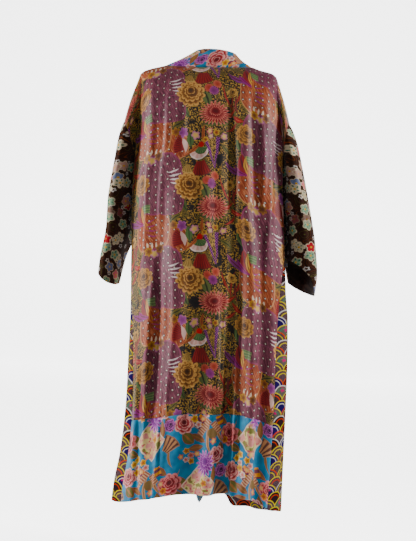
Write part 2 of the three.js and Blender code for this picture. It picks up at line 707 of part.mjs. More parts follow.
function makeSleeve(side, name) {
  const backTurns = levelRows(0, 2).map(armholeShare);
  const turns = [...backTurns, ...backTurns.slice(0, -1).reverse().map((turn) => 2 - turn)];
  const turnOf = (i) => turns[i];
  const cut = (turn) => readTable(CUFF_CUT, 'turn', side < 0 ? 'left' : 'right', turn);
  const alongOf = (i, j) => (j / CELLS.sleeveAlong) * cut(turnOf(i));
  return clothWall({
    name,
    print: 'brown',
    columns: turns.length - 1,
    rows: CELLS.sleeveAlong,
    wrap: true,
    gap: THICK_SEAM_GAP,
    pointAt: (i, j) => sleevePoint(side, turnOf(i), alongOf(i, j)),
    normalAt: (i, j) => {
      if (j === 0) return armholeNormal(side, turnOf(i));
      return sleeveNormal(side, turnOf(i), alongOf(i, j));
    },
  });
}

function makeNeckband() {
  const half = [];
  for (let k = 1; k <= CELLS.backNeck; k += 1) half.push(neckStation(BACK_COLUMNS + k));
  for (const level of levelRows(0, 3).slice(1)) half.push(1 + level);
  const stations = [...half.map((s) => -s).reverse(), 0, ...half];
  const across = (i) => i / CELLS.bandAcross;
  return clothWall({
    name: 'neckband',
    print: 'turquoise',
    columns: CELLS.bandAcross,
    rows: stations.length - 1,
    wall: BAND_WALL,
    gap: THICK_SEAM_GAP,
    pointAt: (i, j) => bandPoint(stations[j] || 1e-6, across(i)),
    normalAt: (i, j) => {
      const along = stations[j] || 1e-6;
      if (i === 0) return neckSeamNormal(along);
      return surfaceNormal(bandPoint, along, across(i), 1);
    },
  });
}

const kimono = new THREE.Group();
kimono.add(makeBack());
for (const [side, word] of [[-1, 'left'], [1, 'right']]) {
  kimono.add(
    makeFront(side, `front_${word}`),
    makeShoulderTrim(side, `shoulder_trim_${word}`),
    makeSidePanel(side, `side_panel_${word}`),
    makeSleeve(side, `sleeve_${word}`),
    makeHemFacing(side, `hem_facing_${word}`),
  );
}
kimono.add(...makeHemBands(), makeNeckband());

export default kimono;
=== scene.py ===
"""Looks of a long patchwork kimono robe that hangs filled out, seen from behind.

Lengths in the tables are millimetres, in the part's frame: +X to the wearer's right, +Y to the front.
Every piece keeps its flat cut in a UV map named cloth, in metres, and the prints are drawn from it.
"""

import math

import bmesh
import bpy
import numpy as np
from mathutils import Matrix, Vector


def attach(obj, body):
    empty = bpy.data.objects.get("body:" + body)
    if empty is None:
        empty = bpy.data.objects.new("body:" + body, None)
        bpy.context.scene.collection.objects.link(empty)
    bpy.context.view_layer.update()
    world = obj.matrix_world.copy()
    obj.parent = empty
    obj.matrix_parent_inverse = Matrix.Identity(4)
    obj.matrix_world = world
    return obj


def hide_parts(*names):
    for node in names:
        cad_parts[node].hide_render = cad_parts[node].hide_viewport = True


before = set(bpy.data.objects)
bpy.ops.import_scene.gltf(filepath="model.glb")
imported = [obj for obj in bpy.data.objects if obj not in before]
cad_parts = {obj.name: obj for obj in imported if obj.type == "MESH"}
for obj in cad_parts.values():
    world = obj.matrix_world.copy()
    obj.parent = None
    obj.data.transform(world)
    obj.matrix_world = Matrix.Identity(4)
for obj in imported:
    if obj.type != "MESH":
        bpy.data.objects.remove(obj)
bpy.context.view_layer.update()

# The body's sizes, as in the part
SHOULDER_DROP = 110.0
UNDERARM_Z = -240.0
NECK_HALF_WIDTH = 125.0
NECK_DIP = 0.26
VALLEY_SWING = 15.0
BAND_START = 0.765
THICKNESS = 1.7
BAND_THICKNESS = 2.5

BODY = np.array([  # z, centre, half width, back depth, front depth, squareness
    (24, 0, 194, 92, 86, 3.2),
    (-6, 0, 194, 92, 86, 3.2),
    (-22, 4, 192, 92, 86, 3.2),
    (-66, 8, 194, 94, 90, 3.2),
    (-150, 13, 202, 98, 97, 3.1),
    (-340, 16, 214, 104, 108, 2.8),
    (-520, 26, 219, 107, 112, 2.6),
    (-654, 32, 221, 109, 115, 2.6),
    (-805, 34, 225, 111, 119, 2.6),
    (-953, 33, 226, 114, 124, 2.6),
    (-1082, 28, 230, 118, 130, 2.6),
    (-1168, 21, 237, 122, 135, 2.6),
    (-1270, 17, 242, 125, 140, 2.6),
], float)
# z, how far the right side is drawn in
SIDE_TUCK = np.array([(-200, 0), (-306, 10), (-385, 14), (-474, 15), (-545, 13), (-600, 7), (-680, 0)], float)
# Distance from the middle, height
SHOULDER_LINE = np.array([(0, 24), (119, 20), (146, 13), (181, 4), (194, -5), (215, -14)], float)
FOLDS = [  # face, ridge x at the shoulders, half way and at the hem, reach, height at the top and at the hem
    ("back", -204, -210, -214, 13, 5, 2),
    ("back", -150, -166, -172, 22, 5, 12),
    ("back", -50, -81, -106, 36, 6, 36),
    ("back", 22, 56, 34, 24, 8, 19),
    ("back", 100, 121, 131, 19, 7, 35),
    ("back", 158, 176, 190, 20, 9, 18),
    ("back", 206, 212, 216, 13, 8, 3),
    ("front", -165, -175, -182, 22, 4, 13),
    ("front", -105, -122, -128, 25, 5, 24),
    ("front", 100, 116, 134, 26, 5, 26),
    ("front", 160, 178, 188, 22, 4, 14),
]
HEM = np.array([  # angle from the centre back, left z, right z
    (0, -1173, -1173),
    (20, -1188, -1169),
    (35, -1203, -1181),
    (55, -1217, -1208),
    (90, -1224, -1230),
    (130, -1226, -1255),
    (161, -1225, -1255),
    (164, -1224, -1249),
    (168, -1221, -1222),
    (180, -1216, -1210),
], float)
SIDE_SEAM = np.array([  # z, left and right angle of the back's edge
    (-240, 87, 87), (-400, 84, 80), (-520, 79, 70), (-640, 71, 60),
    (-780, 62, 54), (-920, 57, 53), (-1060, 54, 52), (-1270, 52, 51),
], float)
FRONT_BAND = np.array([  # z, seam, left free edge, right free edge
    (20, 125, 60, 60), (-40, 117, 46, 46), (-110, 98, 33, 33), (-240, 84, 20, 20),
    (-400, 76, 12, 12), (-700, 73, 12, 5), (-1000, 75, 18, 0), (-1270, 78, 24, -6),
], float)
BAND_TOP_HALF, BAND_TOP_BACK, BAND_TOP_Z, BAND_TOP_SIDE_Z, BAND_TOP_TILT = 55.0, 34.0, 66.0, 63.0, 0.06
BAND_LEAN = 20.0
BAND_TIP = 36.0
BAND_ROLL = np.array([(0, 4), (1, -6), (1.6, 3), (4, 5)], float)  # place along the band, roll outward
SLEEVES = {  # outer x and z, inner x and z, half depth, centre y, toe, lift
    1: np.array([
        (237, -137, 225, -243, 80, 10, 0, 14),
        (256, -178, 225, -270, 85, 12, 5, 9),
        (271, -236, 224, -306, 88, 15, 10, 4),
        (297, -347, 229, -385, 89, 18, 16, 0),
        (321, -460, 235, -474, 86, 20, 20, 0),
        (333, -553, 243, -545, 80, 20, 20, 0),
        (329, -619, 250, -582, 72, 20, 16, 0),
    ], float),
    -1: np.array([
        (233, -140, 199, -243, 80, 10, 0, 30),
        (243, -180, 200, -270, 85, 12, 5, 20),
        (251, -240, 200, -306, 88, 15, 9, 8),
        (265, -347, 203, -385, 89, 18, 14, 0),
        (267, -450, 205, -460, 86, 20, 18, 0),
        (281, -530, 229, -532, 76, 20, 14, 0),
        (288, -576, 243, -612, 66, 20, 10, 0),
    ], float),
}
# Turn, reach in turns, height
SLEEVE_FOLDS = [(0.28, 0.07, 5), (0.72, 0.08, 4), (1.3, 0.08, 5), (1.66, 0.07, 4)]
# The right cuff's length round the sleeve, as a share, by turns
CUFF = np.array([
    (0, 1), (0.15, 1), (0.5, 0.86), (0.75, 0.79), (1, 0.79), (1.12, 0.96), (1.25, 1), (2, 1),
], float)
TRIM_START, TRIM_END = 0.5, 0.875

# Smaller creases on the back: x and z at both ends, reach and height; a minus is a trough
BACK_CREASES = [
    (-92, -20, -98, -360, 7, 3.5), (-98, -120, -104, -520, 6, 4.1), (-128, -70, -140, -420, 8, -3.2),
    (-150, -250, -156, -640, 7, 3.5), (-60, -60, -46, -300, 12, -4.6), (-28, -90, -30, -420, 9, 2.6),
    (10, -60, 18, -330, 9, -2.9), (46, -150, 62, -560, 8, 3.5), (78, -40, 88, -420, 9, -5.8),
    (104, -180, 112, -640, 6, 3.8), (140, -60, 150, -480, 7, -4.9), (164, -90, 178, -420, 6, 4.3),
    (190, -200, 200, -700, 6, 3.8), (-180, -120, -184, -560, 7, -3.2), (-118, -560, -130, -1010, 9, 4.3),
    (-70, -560, -60, -1000, 12, -6.5), (-20, -520, -24, -1080, 16, -5.8), (6, -640, 0, -1170, 10, 3.8),
    (60, -620, 76, -1120, 12, -5.8), (98, -620, 104, -1100, 8, -6.5), (148, -560, 158, -1150, 9, -6.1),
    (172, -700, 182, -1180, 7, 3.8), (-150, -760, -158, -1190, 9, 4.1),
    (-136, -840, -140, -1200, 7, -3.8), (-196, -900, -206, -1200, 8, 2.9),
    (-70, -900, -78, -1180, 9, -4.3), (-120, -40, -180, -110, 9, 2.3), (130, -40, 186, -105, 9, 2.3),
    (40, -960, 60, -1180, 8, 3.2), (120, -900, 128, -1170, 5, 3.5), (-114, -480, -122, -1700, 9, 8.0),
    (-93, -480, -98, -1700, 13, -11.0), (-72, -520, -64, -1700, 12, -7.0),
    (-60, -700, -66, -1600, 8, 4.0), (-150, -560, -156, -1700, 7, 4.0), (60, -800, 64, -1600, 9, 3.5),
    (101, -460, 104, -1700, 11, -11.0), (122, -460, 126, -1700, 7, 9.0), (80, -640, 86, -1700, 12, -6.0),
    (176, -560, 186, -1700, 7, 4.5),
]
FRONT_CREASES = [
    (-96, -120, -104, -620, 9, 2.6), (-130, -160, -150, -700, 9, -3.0), (-160, -300, -168, -900, 8, 2.6),
    (-104, -640, -112, -1200, 10, -3.6), (-142, -760, -150, -1190, 8, 2.8),
    (96, -140, 102, -640, 9, -2.8), (126, -180, 146, -760, 9, 2.8), (158, -260, 168, -860, 8, -2.8),
    (106, -620, 114, -1200, 9, 3.2), (146, -760, 160, -1200, 9, -3.2),
]
# Creases on the sleeves: turn and share of the length at both ends, reach in turns, height
SLEEVE_CREASES = [
    (0.12, 0.05, 0.16, 0.75, 0.030, 2.6), (0.34, 0.10, 0.40, 0.90, 0.035, -3.2),
    (0.50, 0.02, 0.46, 0.50, 0.030, 2.6), (0.62, 0.25, 0.60, 0.98, 0.040, 3.0),
    (0.84, 0.05, 0.80, 0.60, 0.035, -2.6), (1.15, 0.10, 1.20, 0.90, 0.035, 2.6),
    (1.45, 0.05, 1.40, 0.80, 0.040, -3.0), (1.62, 0.30, 1.58, 0.98, 0.035, 2.6),
    (1.86, 0.05, 1.84, 0.70, 0.035, 2.4),
]

PITCH = 5.0


# Reading the tables
def smooth(x):
    t = np.clip(x, 0, 1)
    return t * t * (3 - 2 * t)


def read(table, column, at):
    keys, values = table[:, 0], table[:, column]
    at = np.asarray(at, float)
    if keys[-1] < keys[0]:
        keys, at = -keys, -at
    i = np.clip(np.searchsorted(keys, at, side="left") - 1, 0, len(keys) - 2)
    before, after = np.maximum(i - 1, 0), np.minimum(i + 2, len(keys) - 1)
    span = keys[i + 1] - keys[i]
    t = np.clip((at - keys[i]) / span, 0, 1)
    here = (values[i + 1] - values[before]) / (keys[i + 1] - keys[before]) * span
    there = (values[after] - values[i]) / (keys[after] - keys[i]) * span
    t2, t3 = t * t, t * t * t
    return (values[i] * (2 * t3 - 3 * t2 + 1) + here * (t3 - 2 * t2 + t)
            + values[i + 1] * (3 * t2 - 2 * t3) + there * (t3 - t2))


def power(x, p):
    return np.sign(x) * np.abs(x) ** p


def stack(x, y, z):
    return np.stack(np.broadcast_arrays(x, y, z), axis=-1)


# The surfaces
def hem_height(angle):
    return np.where(angle < 0, read(HEM, 1, np.abs(angle)), read(HEM, 2, np.abs(angle)))


def fold_height(is_back, across, z):
    fall = smooth((-50 - z) / 1120)
    upper, lower = smooth((-50 - z) / 550), smooth((-600 - z) / 570)
    total = 0 * across * z
    for face, top, middle, hem, reach, high, low in FOLDS:
        ridge = top + (middle - top) * upper + (hem - middle) * lower
        bump = (high + (low - high) * fall) * smooth(-z / 50) * np.exp(-(((across - ridge) / reach) ** 2))
        total = total + bump * (is_back == (face == "back"))
    return total


def body_point(angle, level):
    angle, level = np.broadcast_arrays(np.asarray(angle, float), np.asarray(level, float))
    turn, dome = np.radians(angle), np.radians(90) * np.clip(level, -1, 1)
    z = -SHOULDER_DROP * (1 - np.cos(dome))
    z = z + (UNDERARM_Z + SHOULDER_DROP) * np.clip(level - 1, 0, 1)
    z = z + (hem_height(angle) - UNDERARM_Z) * np.maximum(level - 2, 0)
    centre, half, square = (read(BODY, c, z) for c in (1, 2, 5))
    is_back = np.cos(turn) >= 0
    depth = np.where(is_back, read(BODY, 3, z), read(BODY, 4, z))
    across = half * power(np.sin(turn), 2 / square)
    along = -depth * power(np.cos(turn), 2 / square)
    nx, ny = power(across / half, square - 1) / half, power(along / depth, square - 1) / depth
    size = np.hypot(nx, ny)
    fold = fold_height(is_back, across, z) * smooth(np.abs(np.cos(turn)) * 4)
    tuck = np.where(angle > 0, read(SIDE_TUCK, 1, z) * smooth((np.sin(turn) - 0.94) / 0.06), 0)
    x = centre + across + nx / size * fold - tuck
    y = (along + ny / size * fold) * np.sin(np.abs(dome)) * np.where(dome < 0, -1, 1)
    z = z + read(SHOULDER_LINE, 1, np.abs(across)) * np.cos(dome)
    return stack(x, y, z)


def angle_at(x, z, is_back):
    centre, half, square = (read(BODY, c, z) for c in (1, 2, 5))
    angle = np.degrees(np.arcsin(np.clip(power((x - centre) / half, square / 2), -1, 1)))
    return angle if is_back else np.where(angle < 0, -180 - angle, 180 - angle)


def back_edge(side, level):
    column = 1 if side < 0 else 2
    share = np.clip(level, 0, 2) / 2
    meets = read(SIDE_SEAM, column, UNDERARM_Z)
    above = 90 - (90 - meets) * share - VALLEY_SWING * np.sin(np.pi * share) ** 0.8
    z = UNDERARM_Z + (hem_height(np.asarray(side * 60.0)) - UNDERARM_Z) * (level - 2)
    return np.where(level <= 2, above, read(SIDE_SEAM, column, z))


def neck_level(x):
    return NECK_DIP * np.sqrt(np.maximum(0, 1 - (x / NECK_HALF_WIDTH) ** 2))


def front_band_angle(side, level, across):
    z = body_point(side * 165.0, level)[..., 2]
    seam, free = read(FRONT_BAND, 1, z), read(FRONT_BAND, 2 if side < 0 else 3, z)
    return angle_at(side * (seam + (free - seam) * across), z, False)


def front_angle(side, share, level):
    inside, outside = np.abs(front_band_angle(side, level, 0.0)), 180 - back_edge(side, level)
    return side * (inside + (outside - inside) * share)


def sleeve_point(side, turn, along):
    rings = np.column_stack([np.arange(7), SLEEVES[side]])
    out_x, out_z, in_x, in_z, depth, centre_y, toe, lift = (read(rings, c, along * 6) for c in range(1, 9))
    angle = np.pi * turn
    half = np.sqrt(np.maximum(((out_x - in_x) / 2) ** 2 - toe**2, 4))
    raised = lift * np.sin(angle) ** 2 * (1 - np.cos(angle)) * 0.77
    fold = 0 * turn * along
    for ridge, reach, out in SLEEVE_FOLDS:
        fold = fold + out * smooth(along * 3) * np.exp(-(((turn - ridge) / reach) ** 2))
    x = side * ((out_x + in_x) / 2 + half * np.cos(angle) + toe * np.sin(angle))
    y = centre_y - (depth + fold) * np.sin(angle)
    return stack(x, y, (out_z + in_z) / 2 + (out_z - in_z) / 2 * np.cos(angle) + raised)


def drop_point(side, face, share, across):
    edge = back_edge(side, share * 2)
    valley = body_point(side * (edge if face == "back" else 180 - edge), share * 2)
    seam = sleeve_point(side, share if face == "back" else 2 - share, 0 * share)
    t = np.asarray(across)[..., None]
    point = valley + (seam - valley) * t
    swell = 5 * np.sin(np.pi * across) * np.sin(np.pi * np.minimum(share + 0.15, 1))
    shift = stack(side * swell, (-1 if face == "back" else 1) * swell * smooth(share * 4), 0 * swell)
    return point + shift


def band_point(along, across):
    side = np.where(along < 0, -1.0, 1.0)
    far = np.abs(along)
    turn = np.radians(90) * np.clip(far, 0, 1)
    neck_x = side * NECK_HALF_WIDTH * np.sin(turn)
    seam_back = body_point(angle_at(neck_x, 0 * neck_x, True), neck_level(neck_x))
    free_back = stack(side * BAND_TOP_HALF * np.sin(turn) + BAND_LEAN, -BAND_TOP_BACK * np.cos(turn),
                      BAND_TOP_SIDE_Z + (BAND_TOP_Z - BAND_TOP_SIDE_Z) * smooth(1 - far))
    free_back[..., 2] -= BAND_TOP_TILT * free_back[..., 0]
    level = np.maximum(far - 1, 0)
    left, right = front_band_angle(-1, level, 0.0), front_band_angle(1, level, 0.0)
    seam_front = body_point(np.where(side < 0, left, right), level)
    left, right = front_band_angle(-1, level, 1.0), front_band_angle(1, level, 1.0)
    on_front = body_point(np.where(side < 0, left, right), level)
    standing = stack(side * BAND_TOP_HALF + BAND_LEAN, 70 * smooth(level),
                     BAND_TOP_SIDE_Z - 90 * level * level)
    standing[..., 2] -= BAND_TOP_TILT * standing[..., 0]
    free_front = standing + (on_front - standing) * smooth(level)[..., None]
    is_neck = (far <= 1)[..., None]
    seam, free = np.where(is_neck, seam_back, seam_front), np.where(is_neck, free_back, free_front)
    point = seam + (free - seam) * np.asarray(across)[..., None]
    flat = point * np.array([1, 1, 0])
    outward = flat / np.linalg.norm(flat, axis=-1, keepdims=True)
    outward = outward + (np.array([0, 1.0, 0]) - outward) * smooth(level)[..., None]
    tip = BAND_TIP * smooth((along - 3.93) / 0.07) * np.sin(np.pi * across**3) ** 3
    point = point - stack(0 * tip, 0 * tip, tip)
    return point + outward * (read(BAND_ROLL, 1, far) * np.sin(np.pi * across))[..., None]


# Cloth relief
def creases(rows, x, z):
    total = 0 * x
    for x0, z0, x1, z1, reach, height in rows:
        t = np.clip((z - z0) / (z1 - z0), 0, 1)
        sway = 5 * np.sin(t * 5 + x0 * 0.3)
        away = (x - (x0 + (x1 - x0) * t) - sway) / (reach * (0.75 + 0.5 * t))
        total = total + height * np.sin(np.pi * t) ** 0.7 * np.exp(-away * away)
    return total


def ripple(x, z, seed):
    """Small uneven waves of cloth, longer down than across."""
    rng = np.random.default_rng(seed)
    total = 0 * x
    for _ in range(14):
        across, down = rng.uniform(0.03, 0.12), rng.uniform(-0.012, 0.012)
        total = total + rng.uniform(0.12, 0.34) * np.sin(across * x + down * z + rng.uniform(0, 6.28))
    return total


def normals(points):
    du, dv = np.gradient(points, axis=1), np.gradient(points, axis=0)
    n = np.cross(du, dv)
    return n / np.maximum(np.linalg.norm(n, axis=-1, keepdims=True), 1e-9)


def lines(length, edge=True):
    """Shares from 0 to 1 at an even pitch, with closer lines along both edges for the turned seam."""
    count = max(int(round(length / PITCH)), 3)
    inner = np.linspace(0, 1, count + 1)
    if not edge:
        return inner
    near = np.array([1.2, 2.6, 4.2]) / length
    return np.unique(np.concatenate([inner[:1], near, inner[1:-1][(inner[1:-1] > near[-1] * 1.2)
                                     & (inner[1:-1] < 1 - near[-1] * 1.2)], 1 - near[::-1], inner[-1:]]))


def seam_roll(distance, depth=1.5):
    """A piece turns in along its seam, so a fine groove runs between two pieces."""
    return -depth * np.exp(-np.maximum(distance, 0) / 1.6)


def arc(points, axis):
    step = np.linalg.norm(np.diff(points, axis=axis), axis=-1)
    start = np.zeros_like(np.take(step, [0], axis=axis))
    return np.concatenate([start, np.cumsum(step, axis=axis)], axis=axis)


# Meshes
SCENE = bpy.context.scene


def make_piece(name, patches, slot, thickness=THICKNESS, inside_out=False):
    """Each patch is points in mm, cloth coordinates in mm and the sign of its outward normal."""
    verts, faces, uvs, base = [], [], [], 0
    for points, cloth, sign in patches:
        rows, cols = points.shape[:2]
        index = base + np.arange(rows * cols).reshape(rows, cols)
        quads = np.stack([index[:-1, :-1], index[1:, :-1], index[1:, 1:], index[:-1, 1:]], -1).reshape(-1, 4)
        quads = quads if sign < 0 else quads[:, ::-1]
        verts.append(points.reshape(-1, 3))
        faces.append(quads)
        uvs.append(cloth.reshape(-1, 2)[(quads - base).reshape(-1)])
        base += rows * cols
    me = bpy.data.meshes.new(name)
    me.from_pydata((np.concatenate(verts) / 1000).tolist(), [], np.concatenate(faces).tolist())
    layer = me.uv_layers.new(name="cloth")
    layer.data.foreach_set("uv", (np.concatenate(uvs) / 1000).astype(np.float32).reshape(-1))
    bm = bmesh.new()
    bm.from_mesh(me)
    bmesh.ops.remove_doubles(bm, verts=bm.verts, dist=0.00005)
    bm.to_mesh(me)
    bm.free()
    for material in PRINTS[slot][:: -1 if inside_out else 1]:
        me.materials.append(material)
    obj = bpy.data.objects.new(name, me)
    SCENE.collection.objects.link(obj)
    wall = obj.modifiers.new("wall", "SOLIDIFY")
    wall.thickness = thickness / 1000
    wall.offset = 0
    wall.material_offset = 1
    depsgraph = bpy.context.evaluated_depsgraph_get()
    obj.data = bpy.data.meshes.new_from_object(obj.evaluated_get(depsgraph))
    obj.modifiers.clear()
    for polygon in obj.data.polygons:
        polygon.use_smooth = True
    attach(obj, "root")
    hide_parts(name)


def lift(points, height, sign):
    return points + normals(points) * (sign * height)[..., None]


# Ink: short names for the nodes of a material
def linear(rgb, depth=1.0):
    """Screen colour to light; depth under 1 gives a darker, fuller dye."""
    c = np.array(rgb, float) / 255
    c = np.where(c <= 0.04045, c / 12.92, ((c + 0.055) / 1.055) ** 2.4)
    if depth < 1:
        c = np.clip(c.mean() + (c - c.mean()) * 1.18, 0, 1) * depth
    return tuple(c) + (1.0,)


TRACE = 1e-6  # share of a colour that goes into the coordinates
SECTION_ROWS = 10
SOFT = 1.3  # mm over which a drawn edge fades


class Field:
    """A number, vector or colour that a chain of nodes gives at each point."""

    def __init__(self, ink, socket):
        self.ink, self.socket = ink, socket

    def __add__(self, other):
        return self.ink.math("ADD", self, other)

    def __sub__(self, other):
        return self.ink.math("SUBTRACT", self, other)

    def __mul__(self, other):
        return self.ink.math("MULTIPLY", self, other)

    def __truediv__(self, other):
        return self.ink.math("DIVIDE", self, other)

    def __abs__(self):
        return self.ink.math("ABSOLUTE", self)


class Ink:
    def __init__(self, name, depth=1.0):
        self.depth = depth
        self.material = bpy.data.materials.new(name)
        self.material.use_nodes = True
        self.tree = self.material.node_tree
        self.shader = self.tree.nodes["Principled BSDF"]
        uv = self.node("ShaderNodeUVMap")
        uv.uv_map = "cloth"
        self.cloth = Field(self, uv.outputs[0])
        self.u, self.v = (part * 1000.0 for part in self.split(self.cloth, "XYZ")[:2])

    def node(self, kind):
        return self.tree.nodes.new(kind)

    def split(self, value, kind="Color"):
        node = self.node(f"ShaderNodeSeparate{kind}")
        self.put(node.inputs[0], value)
        return [Field(self, socket) for socket in node.outputs]

    def put(self, socket, value):
        if isinstance(value, Field):
            self.tree.links.new(value.socket, socket)
        elif isinstance(value, tuple) and socket.type == "RGBA":
            socket.default_value = linear(value, self.depth)
        else:
            socket.default_value = value

    def section(self, base, draw):
        """Draws part of the print in a node group of its own, so that no tree grows too long."""
        groups = bpy.data.node_groups
        group = groups.new(f"{self.material.name}_{len(groups)}", "ShaderNodeTree")
        for name, kind in (("u", "Float"), ("v", "Float"), ("cloth", "Vector"), ("base", "Color")):
            group.interface.new_socket(name, in_out="INPUT", socket_type=f"NodeSocket{kind}")
        group.interface.new_socket("base", in_out="OUTPUT", socket_type="NodeSocketColor")
        holder = self.node("ShaderNodeGroup")
        holder.node_tree = group
        for socket, value in zip(holder.inputs, (self.u, self.v, self.cloth, base)):
            self.put(socket, value)
        outer = self.tree, self.u, self.v, self.cloth
        self.tree = group
        entry, leave = self.node("NodeGroupInput"), self.node("NodeGroupOutput")
        self.u, self.v, self.cloth, base = (Field(self, entry.outputs[i]) for i in range(4))
        # A trace of the base goes into the coordinates, so that the renderer works the sections in turn
        red = self.split(base)[0]
        self.u, self.v = self.fma(red, TRACE, self.u), self.fma(red, TRACE, self.v)
        self.put(leave.inputs[0], draw(base))
        self.tree, self.u, self.v, self.cloth = outer
        return Field(self, holder.outputs[0])

    def draw(self, base, repeat, rows):
        """Draws motifs one over the other: each row is the motif's name, its place and its own sizes."""
        for i in range(0, len(rows), SECTION_ROWS):
            def some(under, part=rows[i : i + SECTION_ROWS]):
                for kind, cx, cy, *rest in part:
                    under = getattr(self, kind)(under, cx, cy, repeat, *rest)
                return under
            base = self.section(base, some)
        return base

    def math(self, operation, *values, clamp=False):
        node = self.node("ShaderNodeMath")
        node.operation = operation
        node.use_clamp = clamp
        for socket, value in zip(node.inputs, values):
            self.put(socket, value)
        return Field(self, node.outputs[0])

    def fma(self, value, times, plus, clamp=False):
        return self.math("MULTIPLY_ADD", value, times, plus, clamp=clamp)

    def sine(self, value):
        return self.math("SINE", value)

    def wrap(self, value, half):
        return self.math("WRAP", value, half, -half)

    def far(self, x, y):
        return self.math("SQRT", self.fma(x, x, y * y))

    def turned(self, x, y, angle):
        c, s = math.cos(math.radians(angle)), math.sin(math.radians(angle))
        return self.fma(x, c, y * s), self.fma(x, -s, y * c)

    def vector(self, x, y, z=0.0):
        node = self.node("ShaderNodeCombineXYZ")
        for socket, value in zip(node.inputs, (x, y, z)):
            self.put(socket, value)
        return Field(self, node.outputs[0])

    def paint(self, under, over, cover):
        node = self.node("ShaderNodeMix")
        node.data_type = "RGBA"
        self.put(node.inputs[0], cover)
        self.put(node.inputs[6], under)
        self.put(node.inputs[7], over)
        return Field(self, node.outputs[2])

    def choose(self, colour, pick, rows):
        """Each row's colour covers the one before it where pick is over the row's least value."""
        for over, least in rows:
            colour = self.paint(colour, over, self.above(pick, least, 0.02))
        return colour

    def noise(self, at, scale, detail=1.0, rough=0.5, color=False):
        node = self.node("ShaderNodeTexNoise")
        self.put(node.inputs["Vector"], at)
        self.put(node.inputs["Scale"], scale)
        self.put(node.inputs["Detail"], detail)
        self.put(node.inputs["Roughness"], rough)
        return Field(self, node.outputs[1 if color else 0])

    def below(self, value, edge, soft=SOFT):
        """1 where value is under edge, with a soft border that many units wide."""
        if isinstance(edge, Field):
            return self.fma(edge - value, 1 / soft, 0.5, clamp=True)
        return self.fma(value, -1 / soft, edge / soft + 0.5, clamp=True)

    def above(self, value, edge, soft=SOFT):
        return self.fma(value, 1 / soft, 0.5 - edge / soft, clamp=True)

    def both(self, *masks):
        total = masks[0]
        for mask in masks[1:]:
            total = total * mask
        return total

    def place(self, cx, cy, repeat, angle=0.0, stretch=1.0):
        """Coordinates round a motif that repeats in columns; repeat is column width, height and drop."""
        width, height, drop = repeat
        a = self.u + -float(cx)
        x = self.wrap(a, width / 2)
        b = self.fma(a - x, -drop / width, self.v + -float(cy))
        y = self.wrap(b, height / 2)
        if angle:
            x, y = self.turned(x, y, angle)
        return (x, y * stretch) if stretch != 1 else (x, y)

    def polar(self, x, y):
        return self.far(x, y), self.math("ARCTAN2", y, x)

    def flower(self, base, x, y, radius, petals, colours, depth=0.2, turn=0.0, line=None):
        """One ring of rounded petals; colours run from its middle to its edge."""
        r, theta = self.polar(x, y)
        wave = abs(self.sine(self.fma(theta, petals / 2, turn)))
        t = r / self.fma(wave, radius * depth, radius * (1 - depth))
        colour = self.paint(colours[0], colours[1], self.math("POWER", t, 2.0, clamp=True))
        if len(colours) > 2:
            colour = self.paint(colour, colours[2], self.above(t, 0.84, 0.12))
        if line:
            gap = self.both(self.below(wave, 0.26, 0.3), self.below(t, 0.98, 0.2)) * 0.8
            colour = self.paint(colour, line, gap)
        return self.paint(base, colour, self.below(t, 1.0, 2.2 / radius))

    def peony(self, base, cx, cy, repeat, radius, outer, middle, inner, edge, petals=9, angle=10):
        """Four rings of petals, each dark at its foot and pale at its edge."""
        x, y = self.place(cx, cy, repeat, angle, 1.06)
        dark = tuple(int(c * 0.45) for c in outer)
        rings = (
            (1.0, petals, outer, 0.0, 0.0), (0.76, petals - 2, middle, 0.05, 0.07),
            (0.53, petals - 3, outer, -0.03, 0.13), (0.30, 4, inner, 0.04, 0.18),
        )
        for share, count, colour, dx, dy in rings:
            base = self.flower(base, x + radius * dx, y + radius * dy, radius * share, count,
                               (dark, colour, edge), 0.17, 2.4 * share, dark)
        return base

    def blossom(self, base, cx, cy, repeat, radius, colour, heart, petals=5):
        x, y = self.place(cx, cy, repeat)
        base = self.flower(base, x, y, radius, petals, (heart, colour, colour), 0.34, 0.3)
        return self.spot(base, x, y, radius * 0.26, heart)

    def spot(self, base, x, y, radius, colour):
        return self.paint(base, colour, self.below(self.fma(x, x, y * y), radius**2, radius * SOFT))

    def leaf(self, base, cx, cy, repeat, length, width, angle, colour, rib=None, bend=0.0):
        x, y = self.place(cx, cy, repeat, angle)
        along = x * (2 / length)
        square = along * along
        if bend:
            y = self.fma(square, bend, y)
        half = self.fma(square, -width / 2, width / 2)
        aside = abs(y)
        base = self.paint(base, colour, self.below(aside, half, 1.2))
        if rib:
            base = self.paint(base, rib, self.below(aside, half * 0.22, 0.8))
        return base

    def fan(self, base, cx, cy, repeat, inner, outer, half_angle, angle, colours, ribs=14):
        """A ribbed fan or shell whose rim faces along angle."""
        x, y = self.place(cx, cy, repeat, angle)
        r, theta = self.polar(x, y)
        inside = self.both(self.below(abs(theta), math.radians(half_angle), 0.06),
                           self.above(r, inner), self.below(r, outer))
        stripe = self.sine(theta * (ribs * 180 / (2 * half_angle)))
        colour = self.paint(colours[0], colours[1], self.above(stripe, 0.1, 0.7))
        colour = self.paint(colour, colours[2], self.above(r, outer - 3.2))
        return self.paint(base, colour, inside)

    def disk(self, base, cx, cy, repeat, radius, colour):
        x, y = self.place(cx, cy, repeat)
        return self.spot(base, x, y, radius, colour)

    def block(self, base, cx, cy, repeat, half_x, half_y, angle, dark, light, bars=0.9):
        """A small rectangle with cross bars, such as a folded slip of paper."""
        x, y = self.place(cx, cy, repeat, angle)
        far = self.math("MAXIMUM", abs(x) * (1 / half_x), abs(y) * (1 / half_y))
        stripe = self.above(self.sine(y * bars), 0.0, 0.5)
        return self.paint(base, self.paint(dark, light, stripe), self.below(far, 1.0, 0.1))

